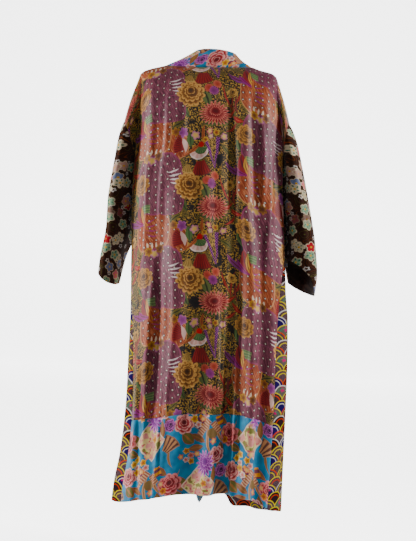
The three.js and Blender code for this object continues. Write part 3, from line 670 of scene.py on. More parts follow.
    def paper(self, base, cx, cy, repeat, half, angle):
        """A plain square of mottled paper with a pale edge."""
        x, y = self.place(cx, cy, repeat, angle)
        square = self.math("MAXIMUM", abs(x) * 0.86, abs(y))
        tint = self.noise(self.cloth, 45.0, 1.0)
        fill = self.paint((206, 140, 132), (222, 202, 140), self.above(tint, 0.48, 0.06))
        fill = self.paint(fill, (128, 124, 66), self.above(tint, 0.58, 0.03))
        blot = self.noise(self.cloth, 130.0, 1.0)
        fill = self.paint(fill, (188, 92, 96), self.above(blot, 0.62, 0.03))
        fill = self.paint(fill, (230, 204, 180), self.above(square, half - 3.0))
        return self.paint(base, fill, self.below(square, half))

    def spider(self, base, cx, cy, repeat, radius, squash, dark, middle, tip, petals=17):
        """A chrysanthemum of thin curled petals, pale at their tips."""
        x, y = self.place(cx, cy, repeat, -4, squash)
        hues = dark, middle, tip
        base = self.flower(base, x, y, radius, petals, hues, 0.46, 0.0, dark)
        base = self.flower(base, x + 1.0, y + radius * 0.07, radius * 0.70, petals + 2, hues, 0.36, 0.6, dark)
        return self.flower(base, x - 1.0, y + radius * 0.14, radius * 0.40, petals - 6, hues, 0.34, 0.2, dark)

    def wisteria(self, base, cx, cy, repeat, half):
        """A hanging cone of small blossoms round a core of gold strokes."""
        x, y = self.place(cx, cy, repeat, -10)
        aside = abs(x)
        cone = self.below(aside, self.fma(y, -0.26, 13.0), 2.0)
        cone = self.both(cone, self.below(abs(y), half, 2.0))
        core = self.below(aside, self.fma(y, -0.18, 6.0), 2.0)
        dots = self.above(self.sine(self.u * 0.95) * self.sine(self.v * 0.85), 0.05, 0.35)
        grape = self.paint((66, 26, 66), (158, 84, 150), dots)
        inner = self.paint(INKY, (190, 150, 84), self.above(streaks(self, 62, 0.5, 4.0), 0.50, 0.06))
        return self.paint(base, self.paint(grape, inner, core), cone)


# Repeats in mm: column width, height and the drop of the next column
BIG = (308.0, 259.0, 130.0)
TEAL = (171.0, 262.0, 127.0)
PEARL_CELL = (9.5, 10.5, 7.3)  # half width, half height, drop of the next column
INKY = (26, 21, 22)
WEAVE_RELIEF = 0.16  # mm


def finish_cloth(ink, colour, rough=0.5, sheen=0.05, gloss=0.2):
    """Sets the cloth's finish: slight change of tone, a fine crepe weave and soft sheen."""
    tone = ink.noise(ink.cloth, 22.0, 3.0, 0.6)
    colour = ink.paint(colour, (16, 12, 14), ink.fma(tone, 0.5, -0.10, clamp=True))
    thread = ink.noise(ink.vector(ink.u * 1.0, ink.v * 0.55), 1.1, 2.0, 0.7)
    yarn = ink.sine(ink.v * 5.2) * ink.sine(ink.u * 5.6)
    height = ink.fma(yarn, 0.25, thread)
    bump = ink.node("ShaderNodeBump")
    ink.put(bump.inputs["Strength"], 0.5)
    ink.put(bump.inputs["Distance"], WEAVE_RELIEF / 1000)
    ink.put(bump.inputs["Height"], height)
    ink.put(ink.shader.inputs["Normal"], Field(ink, bump.outputs[0]))
    ink.put(ink.shader.inputs["Base Color"], colour)
    ink.put(ink.shader.inputs["Roughness"], ink.fma(thread, 0.16, rough - 0.08))
    ink.shader.inputs["Sheen Weight"].default_value = sheen
    ink.shader.inputs["Sheen Roughness"].default_value = 0.45
    ink.shader.inputs["Specular IOR Level"].default_value = gloss
    return ink.material


def wobble(ink, reach=2.2, scale=55.0):
    """Shifts the print by a hair here and there, so that its outlines look drawn and not ruled."""
    shift = ink.node("ShaderNodeSeparateColor")
    ink.put(shift.inputs[0], ink.noise(ink.cloth, scale, 2.0, 0.6, color=True))
    for name, i in (("u", 0), ("v", 1)):
        moved = ink.fma(Field(ink, shift.outputs[i]), 2 * reach, getattr(ink, name))
        setattr(ink, name, moved + -reach)


def streaks(ink, angle, scale, stretch):
    """Fine hair lines that run along an angle, between 0 and 1."""
    along, across = ink.turned(ink.u, ink.v, angle)
    return ink.noise(ink.vector(along * (scale / stretch), across * scale), 1.0, 2.0, 0.65)


def plume(ink, base, fields, colours, repeat, angle):
    """A field of feathers: a broad rounded shape, streaked and set with small pearls."""
    hair = streaks(ink, angle, 0.40, 10.0)
    broad = streaks(ink, angle + 8, 0.09, 3.0)
    fill = ink.paint(colours[0], colours[1], ink.above(hair, 0.48, 0.2))
    fill = ink.paint(fill, colours[2], ink.both(ink.above(hair, 0.58, 0.1), ink.above(broad, 0.45, 0.2)))
    half_wide, half_high, shift = PEARL_CELL
    px = ink.wrap(ink.u, half_wide)
    row = (ink.u - px) * (1 / (2 * half_wide))
    py = ink.wrap(ink.fma(row, shift, ink.v), half_high)
    pearl = ink.far(px, py)
    fill = ink.paint(fill, (58, 20, 20), ink.below(pearl, 3.7, 1.2))
    fill = ink.paint(fill, (214, 202, 188), ink.below(pearl, 2.1, 1.0))
    for cx, cy, a, b in fields:
        x, y = ink.place(cx, cy, repeat)
        x, y = abs(x) * (1 / a), abs(y) * (1 / b)
        t = ink.fma(x * x, x, y * y * y)
        base = ink.paint(base, colours[3], ink.below(t, 1.16, 0.05))
        base = ink.paint(base, fill, ink.below(t, 1.0, 0.08))
    return base


def floral_ground(ink, base):
    speck = ink.noise(ink.cloth, 210.0, 1.0, 0.6)
    patch = ink.noise(ink.cloth, 30.0, 1.0)
    gold = ink.both(ink.above(speck, 0.53, 0.06), ink.above(patch, 0.38, 0.1))
    base = ink.paint(base, (176, 138, 74), gold)
    moss = ink.noise(ink.cloth, 380.0, 1.0, 0.6)
    olive = ink.paint((44, 42, 22), (128, 106, 56), ink.above(moss, 0.50, 0.10))
    return ink.paint(base, olive, ink.above(patch, 0.60, 0.04))


def floral_print():
    """Black crepe with feather fields, peonies, a spider chrysanthemum, fans and leaves in a half drop."""
    ink = Ink("floral_crepe", 0.7)
    wobble(ink, 3.0)
    k = BIG
    rib, blade = (40, 44, 26), (176, 84, 66)
    base = ink.section(INKY, lambda under: floral_ground(ink, under))
    leaves = [
        (-76, 102, 44, 20, 20, (88, 96, 56)), (-48, 122, 40, 16, 60, (78, 90, 50)),
        (12, 84, 44, 26, 70, (92, 100, 56)), (60, 148, 44, 16, -20, (98, 96, 48)),
        (20, 156, 40, 14, 10, (84, 92, 50)), (86, 116, 44, 16, 70, (98, 88, 44)),
        (-72, 158, 40, 14, -30, (104, 92, 46)), (110, 206, 44, 18, 75, (82, 102, 58)),
        (140, 244, 34, 24, 80, (96, 116, 72)), (118, 92, 44, 18, 60, (120, 108, 56)),
        (50, 182, 36, 12, -50, (110, 88, 44)), (70, 222, 44, 13, 40, (104, 96, 50)),
    ]
    blades = [
        (66, 76, 76, 6, 66, (132, 30, 34)), (84, 78, 84, 5, 98, (118, 28, 32)),
        (104, 76, 74, 6, -68, (140, 36, 38)), (116, 66, 84, 5, -60, (112, 26, 32)),
        (94, 96, 56, 7, 84, (86, 30, 34)), (78, 122, 44, 10, -30, (146, 30, 34)),
        (102, 140, 40, 12, 30, (146, 32, 36)), (86, 162, 40, 8, -38, (136, 28, 34)),
    ]
    rows = [("leaf", *row, rib) for row in leaves] + [("leaf", *row, blade, 6) for row in blades]
    base = ink.draw(base, k, rows)
    rust = ((122, 52, 34), (166, 86, 58), (200, 132, 98), (196, 138, 96))
    mauve = ((84, 40, 54), (122, 66, 80), (154, 92, 106), (140, 66, 96))
    rusts, mauves = ((-92, 218, 52, 36), (-146, 182, 54, 58)), ((-122, 58, 68, 80), (-88, 112, 38, 36))
    base = ink.section(base, lambda under: plume(ink, under, rusts, rust, k, 62))
    base = ink.section(base, lambda under: plume(ink, under, mauves, mauve, k, 68))
    strokes = []
    for i in range(4):
        strokes += [
            ("leaf", -78 + 3 * i, 30 + 11 * i, 36, 4.6, -14 + 4 * i, (226, 206, 204), None, 3),
            ("leaf", 157 + 2 * i, 30 + 13 * i, 34, 3.6, -18 + 11 * i, (150, 56, 110), None, 3),
            ("leaf", 148 + 13 * i, 96 + i, 18, 6, 86 + 5 * i, (232, 204, 178)),
        ]
    tail = (92, 34, 44)
    base = ink.draw(base, k, [("block", -164, 122, 16, 11.5, 0, (84, 104, 66), (118, 134, 88))] + strokes + [
        ("leaf", 100, 22, 84, 15, 30, (126, 58, 116), tail, 9),
        ("leaf", 118, 26, 56, 12, 34, (146, 36, 118), tail, 9),
        ("leaf", 126, 8, 66, 30, 62, (138, 46, 48), tail, 9),
        ("leaf", 134, 14, 66, 11, 72, (206, 158, 84), tail, 9),
        ("leaf", 142, 30, 54, 8, 84, (196, 120, 70), tail, 9),
        ("fan", -4, -24, 24, 64, 26, 84, ((104, 24, 28), (146, 46, 42), (116, 34, 34)), 14),
        ("fan", -10, 226, 6, 28, 80, 70, ((206, 160, 150), (222, 186, 174), (236, 216, 206)), 9),
        ("fan", -6, 220, 0, 19, 84, 80, ((62, 92, 56), (98, 120, 70), (66, 92, 54)), 12),
        ("fan", -36, 262, 8, 32, 30, 96, ((130, 100, 56), (168, 134, 80), (182, 150, 94)), 9),
        ("fan", -34, 222, 14, 50, 32, 190, ((96, 22, 28), (142, 42, 40), (158, 74, 62)), 16),
        ("leaf", -48, 214, 42, 15, 74, (206, 168, 158), None, -5),
        ("leaf", -34, 202, 40, 20, 84, (78, 100, 56), (52, 72, 40)),
        ("leaf", 1, 184, 54, 9, 88, (168, 92, 58), (104, 50, 34), 5),
        ("leaf", -24, 228, 70, 9, -42, (168, 92, 58), (104, 50, 34), 5),
        ("disk", -4, 212, 8, (188, 38, 36)), ("wisteria", 34, 236, 42),
    ])
    base = ink.draw(base, k, [
        ("peony", 128, 180, 31, (134, 86, 48), (160, 108, 60), (122, 72, 40), (186, 134, 76), 10, 25),
        ("peony", 84, 60, 15, (150, 104, 52), (176, 124, 66), (90, 44, 28), (204, 158, 92), 6, 25),
        ("peony", -34, 70, 41, (136, 84, 38), (158, 102, 50), (142, 88, 42), (204, 152, 92), 13, 15),
        ("spider", 35, 126, 46, 1.36, (84, 14, 20), (154, 38, 44), (208, 122, 108), 23),
    ] + [("blossom", *row) for row in (
        (16, 53, 13, (196, 92, 78), (156, 60, 50), 14), (40, 41, 13, (204, 108, 88), (160, 64, 52), 14),
        (31, 63, 14, (158, 72, 136), (110, 40, 96), 14), (-55, 180, 15, (160, 92, 146), (120, 50, 110)),
        (-20, 188, 13, (172, 104, 150), (214, 176, 100)),
        (-78, 178, 12, (176, 122, 58), (110, 60, 34), 6), (166, 120, 13, (164, 92, 142), (214, 178, 100)),
        (149, 112, 13, (198, 148, 66), (120, 70, 36), 6), (184, 109, 13, (150, 100, 50), (84, 44, 28), 6),
        (20, 176, 9, (176, 44, 110), (222, 190, 110)), (62, 186, 10, (168, 90, 144), (222, 186, 100)),
        (40, 180, 9, (206, 162, 78), (130, 60, 36)), (24, 190, 8, (158, 84, 140), (220, 190, 120)),
        (8, 198, 8, (206, 160, 76), (120, 60, 34)),
    )])
    return finish_cloth(ink, base)


def turquoise_print():
    """Turquoise ground with peonies, chrysanthemums, folded papers, ribbons and small blossoms."""
    ink = Ink("turquoise_crepe", 0.75)
    wobble(ink, 2.2)
    k = TEAL
    base = ink.paint((6, 104, 140), (14, 132, 168), ink.above(ink.noise(ink.cloth, 40.0, 1.0), 0.5, 0.3))
    rows = []
    for cx, cy, length, width, angle, colour in (
        (-6, 66, 40, 26, 40, (96, 92, 42)), (24, 66, 46, 14, 25, (122, 84, 52)),
        (18, 92, 44, 13, -12, (130, 88, 56)), (-14, 190, 40, 30, 70, (104, 98, 42)),
        (-20, 222, 44, 18, 20, (98, 92, 44)), (108, 150, 44, 22, 60, (120, 78, 50)),
        (98, 100, 50, 18, 80, (104, 84, 44)), (-86, 36, 50, 16, 86, (128, 92, 54)),
        (-78, 150, 44, 16, 30, (132, 92, 58)), (60, 206, 36, 16, -20, (100, 96, 44)),
    ):
        rows.append(("leaf", cx, cy, length + 4, width + 4, angle, (150, 76, 48)))
        rows.append(("leaf", cx, cy, length, width, angle, colour, (154, 102, 60)))
    crease = (132, 84, 60)
    base = ink.draw(base, k, rows + [
        ("leaf", 52, 66, 96, 9, 82, (196, 150, 112), crease, 11),
        ("leaf", 82, 50, 76, 9, 66, (190, 142, 104), crease, 11),
        ("leaf", -60, 112, 70, 8, 80, (150, 110, 70), crease, 11),
        ("leaf", -36, 178, 60, 6, -42, (176, 132, 84), crease, 11),
        ("disk", 66, 50, 15, (122, 96, 58)), ("paper", -128, 66, 36, 36),
        ("block", 26, 22, 13, 19, 32, (96, 48, 76), (222, 150, 44), 0.34),
        ("block", 40, 36, 9, 26, 32, (156, 88, 74), (206, 166, 132)),
        ("block", 86, 16, 10, 14, -24, (104, 56, 70), (214, 142, 52), 0.34),
        ("block", 76, 34, 8, 18, -40, (140, 80, 66), (200, 152, 116)),
        ("fan", -84, 110, 18, 62, 28, -52, ((176, 126, 90), (84, 50, 42), (150, 100, 74)), 7),
    ])
    base = ink.draw(base, k, [
        ("peony", -20, 26, 30, (190, 32, 52), (212, 70, 84), (150, 20, 42), (230, 164, 156), 8, 20),
        ("peony", -62, 26, 19, (96, 20, 96), (140, 46, 134), (80, 14, 84), (186, 112, 172), 7, 50),
        ("peony", -44, 190, 35, (172, 24, 48), (200, 56, 72), (140, 18, 38), (222, 136, 134), 9, -15),
        ("peony", 85, 110, 27, (194, 48, 66), (216, 92, 100), (150, 24, 46), (234, 178, 170), 8, -15),
        ("spider", 52, 132, 29, 0.78, (96, 16, 110), (146, 38, 150), (204, 136, 198), 15),
    ] + [("blossom", *row) for row in (
        (-8, 100, 9, (218, 160, 54), (150, 80, 30)), (6, 112, 9, (214, 150, 140), (170, 70, 60)),
        (22, 108, 9, (204, 84, 84), (232, 190, 120)), (8, 128, 9, (224, 168, 60), (150, 80, 30)),
        (-6, 124, 8, (222, 190, 178), (180, 90, 80)), (-22, 116, 8, (178, 56, 60), (222, 170, 110)),
        (-166, 112, 10, (236, 200, 90), (180, 110, 40)), (-176, 124, 10, (238, 206, 96), (180, 110, 40)),
        (-140, 122, 10, (238, 190, 70), (176, 100, 40)), (-164, 134, 9, (236, 218, 206), (196, 110, 96)),
        (-128, 136, 10, (230, 200, 192), (190, 96, 90)), (-162, 148, 10, (236, 196, 80), (176, 100, 40)),
        (-138, 148, 9, (212, 96, 88), (236, 196, 130)), (110, 70, 10, (218, 150, 60), (150, 70, 40)),
        (100, 50, 9, (206, 90, 90), (232, 190, 130)), (-150, 164, 10, (236, 222, 214), (200, 110, 100)),
        (56, 186, 10, (222, 170, 70), (160, 80, 40)), (70, 176, 9, (226, 200, 190), (190, 96, 90)),
        (40, 232, 10, (212, 120, 110), (232, 200, 130)), (-100, 206, 10, (206, 84, 84), (232, 190, 120)),
    )])
    return finish_cloth(ink, base)


def scales_print():
    """Rows of wave scales, 46 mm wide, each with its own fill and bold outlines."""
    ink = Ink("scales_crepe", 0.55)
    wobble(ink, 1.0, 80.0)
    pitch, width, radius = 21.0, 46.0, 25.5
    row0 = ink.math("FLOOR", ink.v * (1 / pitch))
    weave = ink.noise(ink.cloth, 420.0, 1.0)
    base = None
    for step in (0, 1, 2):
        row = row0 + float(step)
        odd = ink.math("MODULO", abs(row), 2.0) * (width / 2)
        a = ink.u - odd
        x = ink.wrap(a, width / 2)
        column = ink.math("ROUND", (a - x) * (1 / width))
        y = ink.v - row * pitch
        r = ink.far(x, y) * (1 / radius)
        chance = ink.node("ShaderNodeTexWhiteNoise")
        ink.put(chance.inputs["Vector"], ink.vector(column, row, 3.0))
        pick = Field(ink, chance.outputs["Value"])
        other, third, _ = ink.split(Field(ink, chance.outputs["Color"]))
        taupe = ink.paint((66, 48, 54), (104, 84, 90), ink.above(weave, 0.5, 0.1))
        fill = ink.choose(taupe, pick, (((46, 32, 36), 0.42), ((38, 26, 84), 0.66), ((96, 92, 84), 0.84)))
        petals = abs(ink.sine(ink.math("ARCTAN2", y + radius * 0.5, x) * 2.5))
        bloom = ink.polar(x, y + radius * 0.5)[0]
        bloom = ink.below(bloom, ink.fma(petals, 4.0, 4.2), 1.2)
        fill = ink.paint(fill, ink.paint((206, 160, 158), (190, 60, 110), ink.above(other, 0.5, 0.02)),
                         ink.both(bloom, ink.above(pick, 0.78, 0.02)))
        line = ink.choose((206, 186, 70), other, (
            ((204, 78, 46), 0.36), ((212, 204, 196), 0.64), ((66, 122, 96), 0.90)))
        rim = ink.choose((212, 190, 72), third, (((212, 82, 48), 0.40), ((218, 210, 202), 0.74)))
        inner = ink.below(abs(r + -0.62), 0.05, 0.05)
        fill = ink.paint(fill, line, inner)
        fill = ink.paint(fill, rim, ink.above(r, 0.885, 0.04))
        base = fill if base is None else ink.paint(base, fill, ink.below(r, 1.0, 0.05))
    return finish_cloth(ink, base, 0.6, 0.0, gloss=0.0)


def brown_print():
    """Dark brown with plum blossoms of many colours, swirls and small white stars."""
    ink = Ink("brown_crepe", 0.6)
    wobble(ink, 1.4)
    swirl = ink.noise(ink.cloth, 22.0, 1.0)
    lines = abs(ink.sine(swirl * 46.0))
    curls = ink.both(ink.below(lines, 0.16, 0.2), ink.above(swirl, 0.47, 0.05))
    ground = ink.paint((54, 35, 29), (126, 70, 42), curls)
    curls = ink.both(ink.below(lines, 0.12, 0.16), ink.below(swirl, 0.44, 0.05))
    ground = ink.paint(ground, (92, 92, 52), curls)

    def scattered(scale, seed, chaos):
        cell = ink.node("ShaderNodeTexVoronoi")
        cell.voronoi_dimensions = "2D"
        cell.feature = "F1"
        ink.put(cell.inputs["Vector"], ink.vector(ink.u * scale + seed, ink.v * scale))
        ink.put(cell.inputs["Scale"], 1.0)
        ink.put(cell.inputs["Randomness"], chaos)
        at_x, at_y, _ = ink.split(Field(ink, cell.outputs["Position"]), "XYZ")
        pick, other, _ = ink.split(Field(ink, cell.outputs["Color"]))
        x = (ink.u * scale + seed - at_x) * (1 / scale)
        y = (ink.v * scale - at_y) * (1 / scale)
        return x, y, pick, other

    def bloom(x, y, other, swell, core):
        """Share of the way from a five-petalled flower's middle to its edge, and the angle."""
        r, theta = ink.polar(x, y)
        petal = abs(ink.sine(ink.fma(theta, 2.5, other * 6.0)))
        return r / ink.fma(petal, swell, core), theta

    x, y, pick, other = scattered(1 / 31.0, 5.2, 0.8)
    t, _ = bloom(x, y, other, 2.6, 3.9)
    star = ink.both(ink.above(t, 0.5, 0.25), ink.below(t, 1.0, 0.2), ink.above(pick, 0.36, 0.02))
    ground = ink.paint(ground, (214, 206, 200), star)
    for seed, scale, least in ((1.7, 1 / 42.0, 0.04), (8.4, 1 / 50.0, 0.2)):
        x, y, pick, other = scattered(scale, seed, 0.7)
        t, theta = bloom(x, y, other, 5.0, 10.5)
        fill = ink.choose((214, 200, 170), pick, (
            ((146, 172, 142), 0.26), ((216, 122, 128), 0.46), ((118, 128, 160), 0.64),
            ((168, 50, 58), 0.80), ((196, 160, 146), 0.90)))
        dots = ink.both(ink.above(ink.math("COSINE", theta * 5.0), 0.5, 0.4),
                        ink.below(abs(t + -0.55), 0.15, 0.1), ink.below(pick, 0.46, 0.02))
        fill = ink.paint(fill, (40, 104, 88), dots)
        fill = ink.paint(fill, (220, 170, 80), ink.below(t, 0.2, 0.08))
        fill = ink.paint(fill, (228, 208, 180), ink.above(t, 0.86, 0.1))
        ground = ink.paint(ground, fill, ink.both(ink.below(t, 1.0, 0.12), ink.above(other, least, 0.02)))
    return finish_cloth(ink, ground, gloss=0.0)


def reverse_print(name, ground, marks):
    """The wrong side of a printed crepe: its colours show through, dull and dark."""
    ink = Ink(name)
    wobble(ink)
    patch = ink.noise(ink.cloth, 34.0, 2.0, 0.6)
    base = ink.paint(ground, marks, ink.above(patch, 0.52, 0.14) * 0.8)
    return finish_cloth(ink, base, 0.72, 0.0)


FACES = {
    "floral": floral_print(), "turquoise": turquoise_print(),
    "scales": scales_print(), "brown": brown_print(),
}
REVERSES = {
    "floral": ((40, 32, 30), (92, 60, 52)),
    "turquoise": ((30, 88, 112), (92, 92, 88)),
    "scales": ((52, 40, 46), (84, 66, 66)),
    "brown": ((44, 30, 27), (72, 52, 44)),
}
PRINTS = {slot: (face, reverse_print(f"{slot}_reverse", *REVERSES[slot])) for slot, face in FACES.items()}

# The cuts of cloth
GAP = 0.25  # mm kept free along a seam
WORD = {-1: "left", 1: "right"}
# Lengths in mm that set how many lines a grid has
UPPER_RUN, LOWER_RUN, BODY_RUN, BAND_RUN = 300, 735, 960, 230
BACK_RUN, BACK_BAND_RUN, FRONT_RUN, PANEL_RUN, DROP_RUN = 470, 500, 150, 170, 40
SLEEVE_ROUND, SLEEVE_RUN, NECKBAND_WIDTH = 380, 440, 68
FACING_WIDTH, FACING_HEIGHT, FACING_WALL, FACING_DEPTH = 125, 56, 1.2, 2.4
PANEL_START, PANEL_SHARE = 2.007, 0.993  # in levels, where 2 is the underarm and 3 the hem
FACING_START, FACING_SHARE = 2.94125, 0.05875
SEED = {"back": 3, "front": 7, "panel": 17, "sleeve": 23, "drop": 31}
# Where the print's middle lies on each piece, in mm across
SHIFT = {"back": 10, "back_band": 24, "front": 60, "front_band": 40, "trim": 20, "neckband": 36}
# The right sleeve's inner edge lies against the body: how far it moves, z and its reach, turn and its reach
SNUG, SNUG_Z, SNUG_DEEP, SNUG_TURN, SNUG_WIDE = 6, -330, 90, 0.97, 0.16
PANEL_PRINT_ACROSS, SLEEVE_PRINT_ACROSS = 0.6, 0.72  # under 1 the print is stretched across the cloth


def inset(length):
    """Lines whose first and last lie in from the seam."""
    values = lines(length)
    values[0], values[-1] = values[0] + GAP / length, values[-1] - GAP / length
    return values


UPPER = 2 * lines(UPPER_RUN, edge=False)
LOWER = 2 + BAND_START * lines(LOWER_RUN)[1:]
LOWER[-1] -= GAP / BODY_RUN
BACK_LEVELS = np.concatenate([UPPER, LOWER])
TURNED = len(UPPER)


def side_rolls(wide):
    return seam_roll(wide) + seam_roll(wide[:, -1:] - wide)


def end_roll(deep, depth=1.5):
    return seam_roll(deep[-1:] - deep, depth)


def flat_cloth(points, times=1.0, u0=0.0):
    """Cloth coordinates from the arcs along a grid's rows and columns."""
    return np.stack([arc(points, 1) * times + u0, arc(points, 0)], -1)


def back_angle(level, columns):
    left, right = (back_edge(side, level) for side in (-1, 1))
    return -left + (left + right) * columns


def relief(points, is_back, seed):
    x, z = points[..., 0], points[..., 2]
    return creases(BACK_CREASES if is_back else FRONT_CREASES, x, z) + ripple(x, z, seed)


def from_centre(points, angle):
    """Arc along each row from where it crosses the middle of the back."""
    u = arc(points, 1)
    middle = [np.interp(0, row_angle, row_u) for row_angle, row_u in zip(angle, u)]
    return u - np.array(middle)[:, None]


def drop_grid(side, face, u_edge, v_edge):
    """The cloth beyond the body, from the fold beside the sleeve to the sleeve seam."""
    share = np.clip(UPPER / 2, 0, 1)[:, None]
    across = np.concatenate([[0], lines(DROP_RUN)[1:-1], [1 - GAP / DROP_RUN]])[None, :]
    share, across = np.broadcast_arrays(share, across)
    points = drop_point(side, face, share, across)
    sign = side * (-1 if face == "back" else 1)
    wide = arc(points, 1)
    bumps = ripple(points[..., 0], points[..., 2], SEED["drop"] + side)
    height = bumps * smooth(wide / 10) + seam_roll(wide[:, -1:] - wide)
    points = lift(points, height * smooth(share * 12), sign)
    wide = arc(points, 1)
    u = u_edge + (wide if (side > 0) == (face == "back") else -wide)
    return points, np.stack([u, v_edge + 0 * wide], -1), sign, share, across


def make_back():
    level = BACK_LEVELS[:, None]
    angle = back_angle(level, lines(BACK_RUN)[None, :])
    start = neck_level(body_point(angle, 0 * level)[..., 0])
    points = body_point(angle, np.where(level < 1, start + (1 - start) * level, level))
    wide, deep = arc(points, 1), arc(points, 0)
    below = level > 2
    side_fade = np.where(below, 1.0, smooth(np.minimum(wide, wide[:, -1:] - wide) / 10))
    height = relief(points, True, SEED["back"]) * side_fade * smooth(level * 10)
    seam = end_roll(deep) + np.where(below, side_rolls(wide), 0) + np.where(start > 0.001, seam_roll(deep), 0)
    points = lift(points, height + seam, -1)
    u = from_centre(points, angle) + SHIFT["back"]
    v = arc(points, 0) + start[:1] * 150 - 75
    patches = [(points, np.stack([u, v], -1), -1)]
    for side, column in ((-1, 0), (1, -1)):
        u_edge, v_edge = u[:TURNED, column][:, None], v[:TURNED, column][:, None]
        drop, flat, sign, _, _ = drop_grid(side, "back", u_edge, v_edge)
        drop[:, 0] = points[:TURNED, column]
        patches.append((drop, flat, sign))
    make_piece("back", patches, "floral")


def make_front(side):
    columns = inset(FRONT_RUN)
    columns[-1] = 1
    level = BACK_LEVELS[:, None]
    angle = front_angle(side, columns[None, :], level)
    points = body_point(angle, level + 0 * angle)
    points[..., 1] = np.where(level > 0, points[..., 1], np.abs(points[..., 1]))
    wide, deep = arc(points, 1), arc(points, 0)
    below = level > 2
    height = relief(points, False, SEED["front"] + side) * smooth(level * 10)
    height = height * np.where(below, 1.0, smooth((wide[:, -1:] - wide) / 10))
    seam = seam_roll(wide) + end_roll(deep) + np.where(below, seam_roll(wide[:, -1:] - wide), 0)
    points = lift(points, height + seam * smooth(level * 10 + 0.1), side)
    u, v = arc(points, 1) * side + side * SHIFT["front"], arc(points, 0)
    patches = [(points, np.stack([u, v], -1), side)]
    u_edge, v_edge = u[:TURNED, -1][:, None], v[:TURNED, -1][:, None]
    drop, flat, sign, share, across = drop_grid(side, "front", u_edge, v_edge)
    drop[:, 0] = points[:TURNED, -1]
    flat[..., 0] = u_edge + side * arc(drop, 1)
    half = int(np.searchsorted(across[0], TRIM_START))
    low = int(np.searchsorted(share[:, 0], TRIM_END))
    patches.append((drop[:, : half + 1], flat[:, : half + 1], sign))
    patches.append((drop[low:, half:], flat[low:, half:], sign))
    make_piece(f"front_{WORD[side]}", patches, "floral")
    trim = drop[: low + 1, half:].copy()
    trim[:, 0] += (trim[:, 1] - trim[:, 0]) * 0.2
    trim[-1] += (trim[-2] - trim[-1]) * 0.1
    patches = [(trim, flat_cloth(trim, u0=SHIFT["trim"]), sign)]
    make_piece(f"shoulder_trim_{WORD[side]}", patches, "turquoise")


def make_side_panel(side):
    columns = inset(PANEL_RUN)[None, :]
    level = (PANEL_START + PANEL_SHARE * lines(BODY_RUN))[:, None]
    edge = back_edge(side, level)
    points = body_point(side * (edge + (180 - 2 * edge) * columns), level + 0 * columns)
    wide, deep = arc(points, 1), arc(points, 0)
    y, z = points[..., 1], points[..., 2]
    ridge = 2.2 * np.exp(-(((y - 6 * np.sin(z / 90)) / 16) ** 2)) * smooth(deep / 200)
    height = ripple(y, z, SEED["panel"] + side) + ridge + side_rolls(wide) + end_roll(deep, 0.8)
    points = lift(points, height * smooth(deep / 12), -side)
    cloth = flat_cloth(points, PANEL_PRINT_ACROSS)
    make_piece(f"side_panel_{WORD[side]}", [(points, cloth, -side)], "scales")


def make_hem_band(face, side=0):
    level = (2 + BAND_START + (1 - BAND_START) * inset(BAND_RUN))[:, None]
    if face == "back":
        columns = inset(BACK_BAND_RUN)[None, :]
        angle = back_angle(level, columns)
        points = body_point(angle, level + 0 * columns)
        name, sign, seed = "back_hem_band", -1, SEED["back"]
    else:
        columns = inset(FRONT_RUN)[None, :]
        points = body_point(front_angle(side, columns, level), level + 0 * columns)
        name, sign, seed = f"front_hem_band_{WORD[side]}", side, SEED["front"] + side
    wide, deep = arc(points, 1), arc(points, 0)
    height = relief(points, face == "back", seed) + side_rolls(wide) + seam_roll(deep) + end_roll(deep, 0.8)
    points = lift(points, height, sign)
    cloth = flat_cloth(points, u0=SHIFT["front_band"] * side)
    if face == "back":
        cloth[..., 0] = from_centre(points, angle) + SHIFT["back_band"]
    make_piece(name, [(points, cloth, sign)], "turquoise")


def make_facing(side):
    columns = (1 / 12 + 10 / 12 * lines(FACING_WIDTH))[None, :]
    level = (FACING_START + FACING_SHARE * inset(FACING_HEIGHT))[:, None]
    points = body_point(front_angle(side, columns, level), level + 0 * columns)
    points = lift(points, np.full(points.shape[:2], -FACING_DEPTH), side)
    patches = [(points, flat_cloth(points), side)]
    make_piece(f"hem_facing_{WORD[side]}", patches, "scales", FACING_WALL, inside_out=True)


def cuff_cut(side, turn):
    return read(CUFF, 1, turn) if side > 0 else 1 + 0 * turn


def make_sleeve(side):
    turn = lines(SLEEVE_ROUND, edge=False)[None, :] * 2
    along = inset(SLEEVE_RUN)[:, None]
    turn, along = np.broadcast_arrays(turn, along)
    points = sleeve_point(side, turn, along * cuff_cut(side, turn))
    deep = arc(points, 0)
    ring = np.concatenate([points[:, -2:-1], points, points[:, 1:2]], axis=1)
    height = ripple(turn * 200, points[..., 2], SEED["sleeve"] + side)
    height[:, -1] = height[:, 0]
    for t0, a0, t1, a1, reach, high in SLEEVE_CREASES:
        t = np.clip((along - a0) / (a1 - a0), 0, 1)
        away = (turn - (t0 + (t1 - t0) * t) - 0.02 * np.sin(t * 6 + t0 * 9)) / (reach * (0.8 + 0.5 * t))
        height = height + high * np.sin(np.pi * t) ** 0.7 * np.exp(-away * away)
    height = height * smooth(deep / 14) + seam_roll(deep) + end_roll(deep, 0.8)
    outward = normals(ring)[:, 1:-1] * side
    points = points + outward * height[..., None]
    points[:, -1] = points[:, 0]
    if side > 0:
        away = ((points[..., 2] - SNUG_Z) / SNUG_DEEP) ** 2
        points[..., 0] -= SNUG * np.exp(-away - ((turn - SNUG_TURN) / SNUG_WIDE) ** 2)
    around = arc(points * np.array([1, 1, 0]), 1)
    cloth = np.stack([around * SLEEVE_PRINT_ACROSS, -points[..., 2]], -1)
    make_piece(f"sleeve_{WORD[side]}", [(points, cloth, side)], "brown")


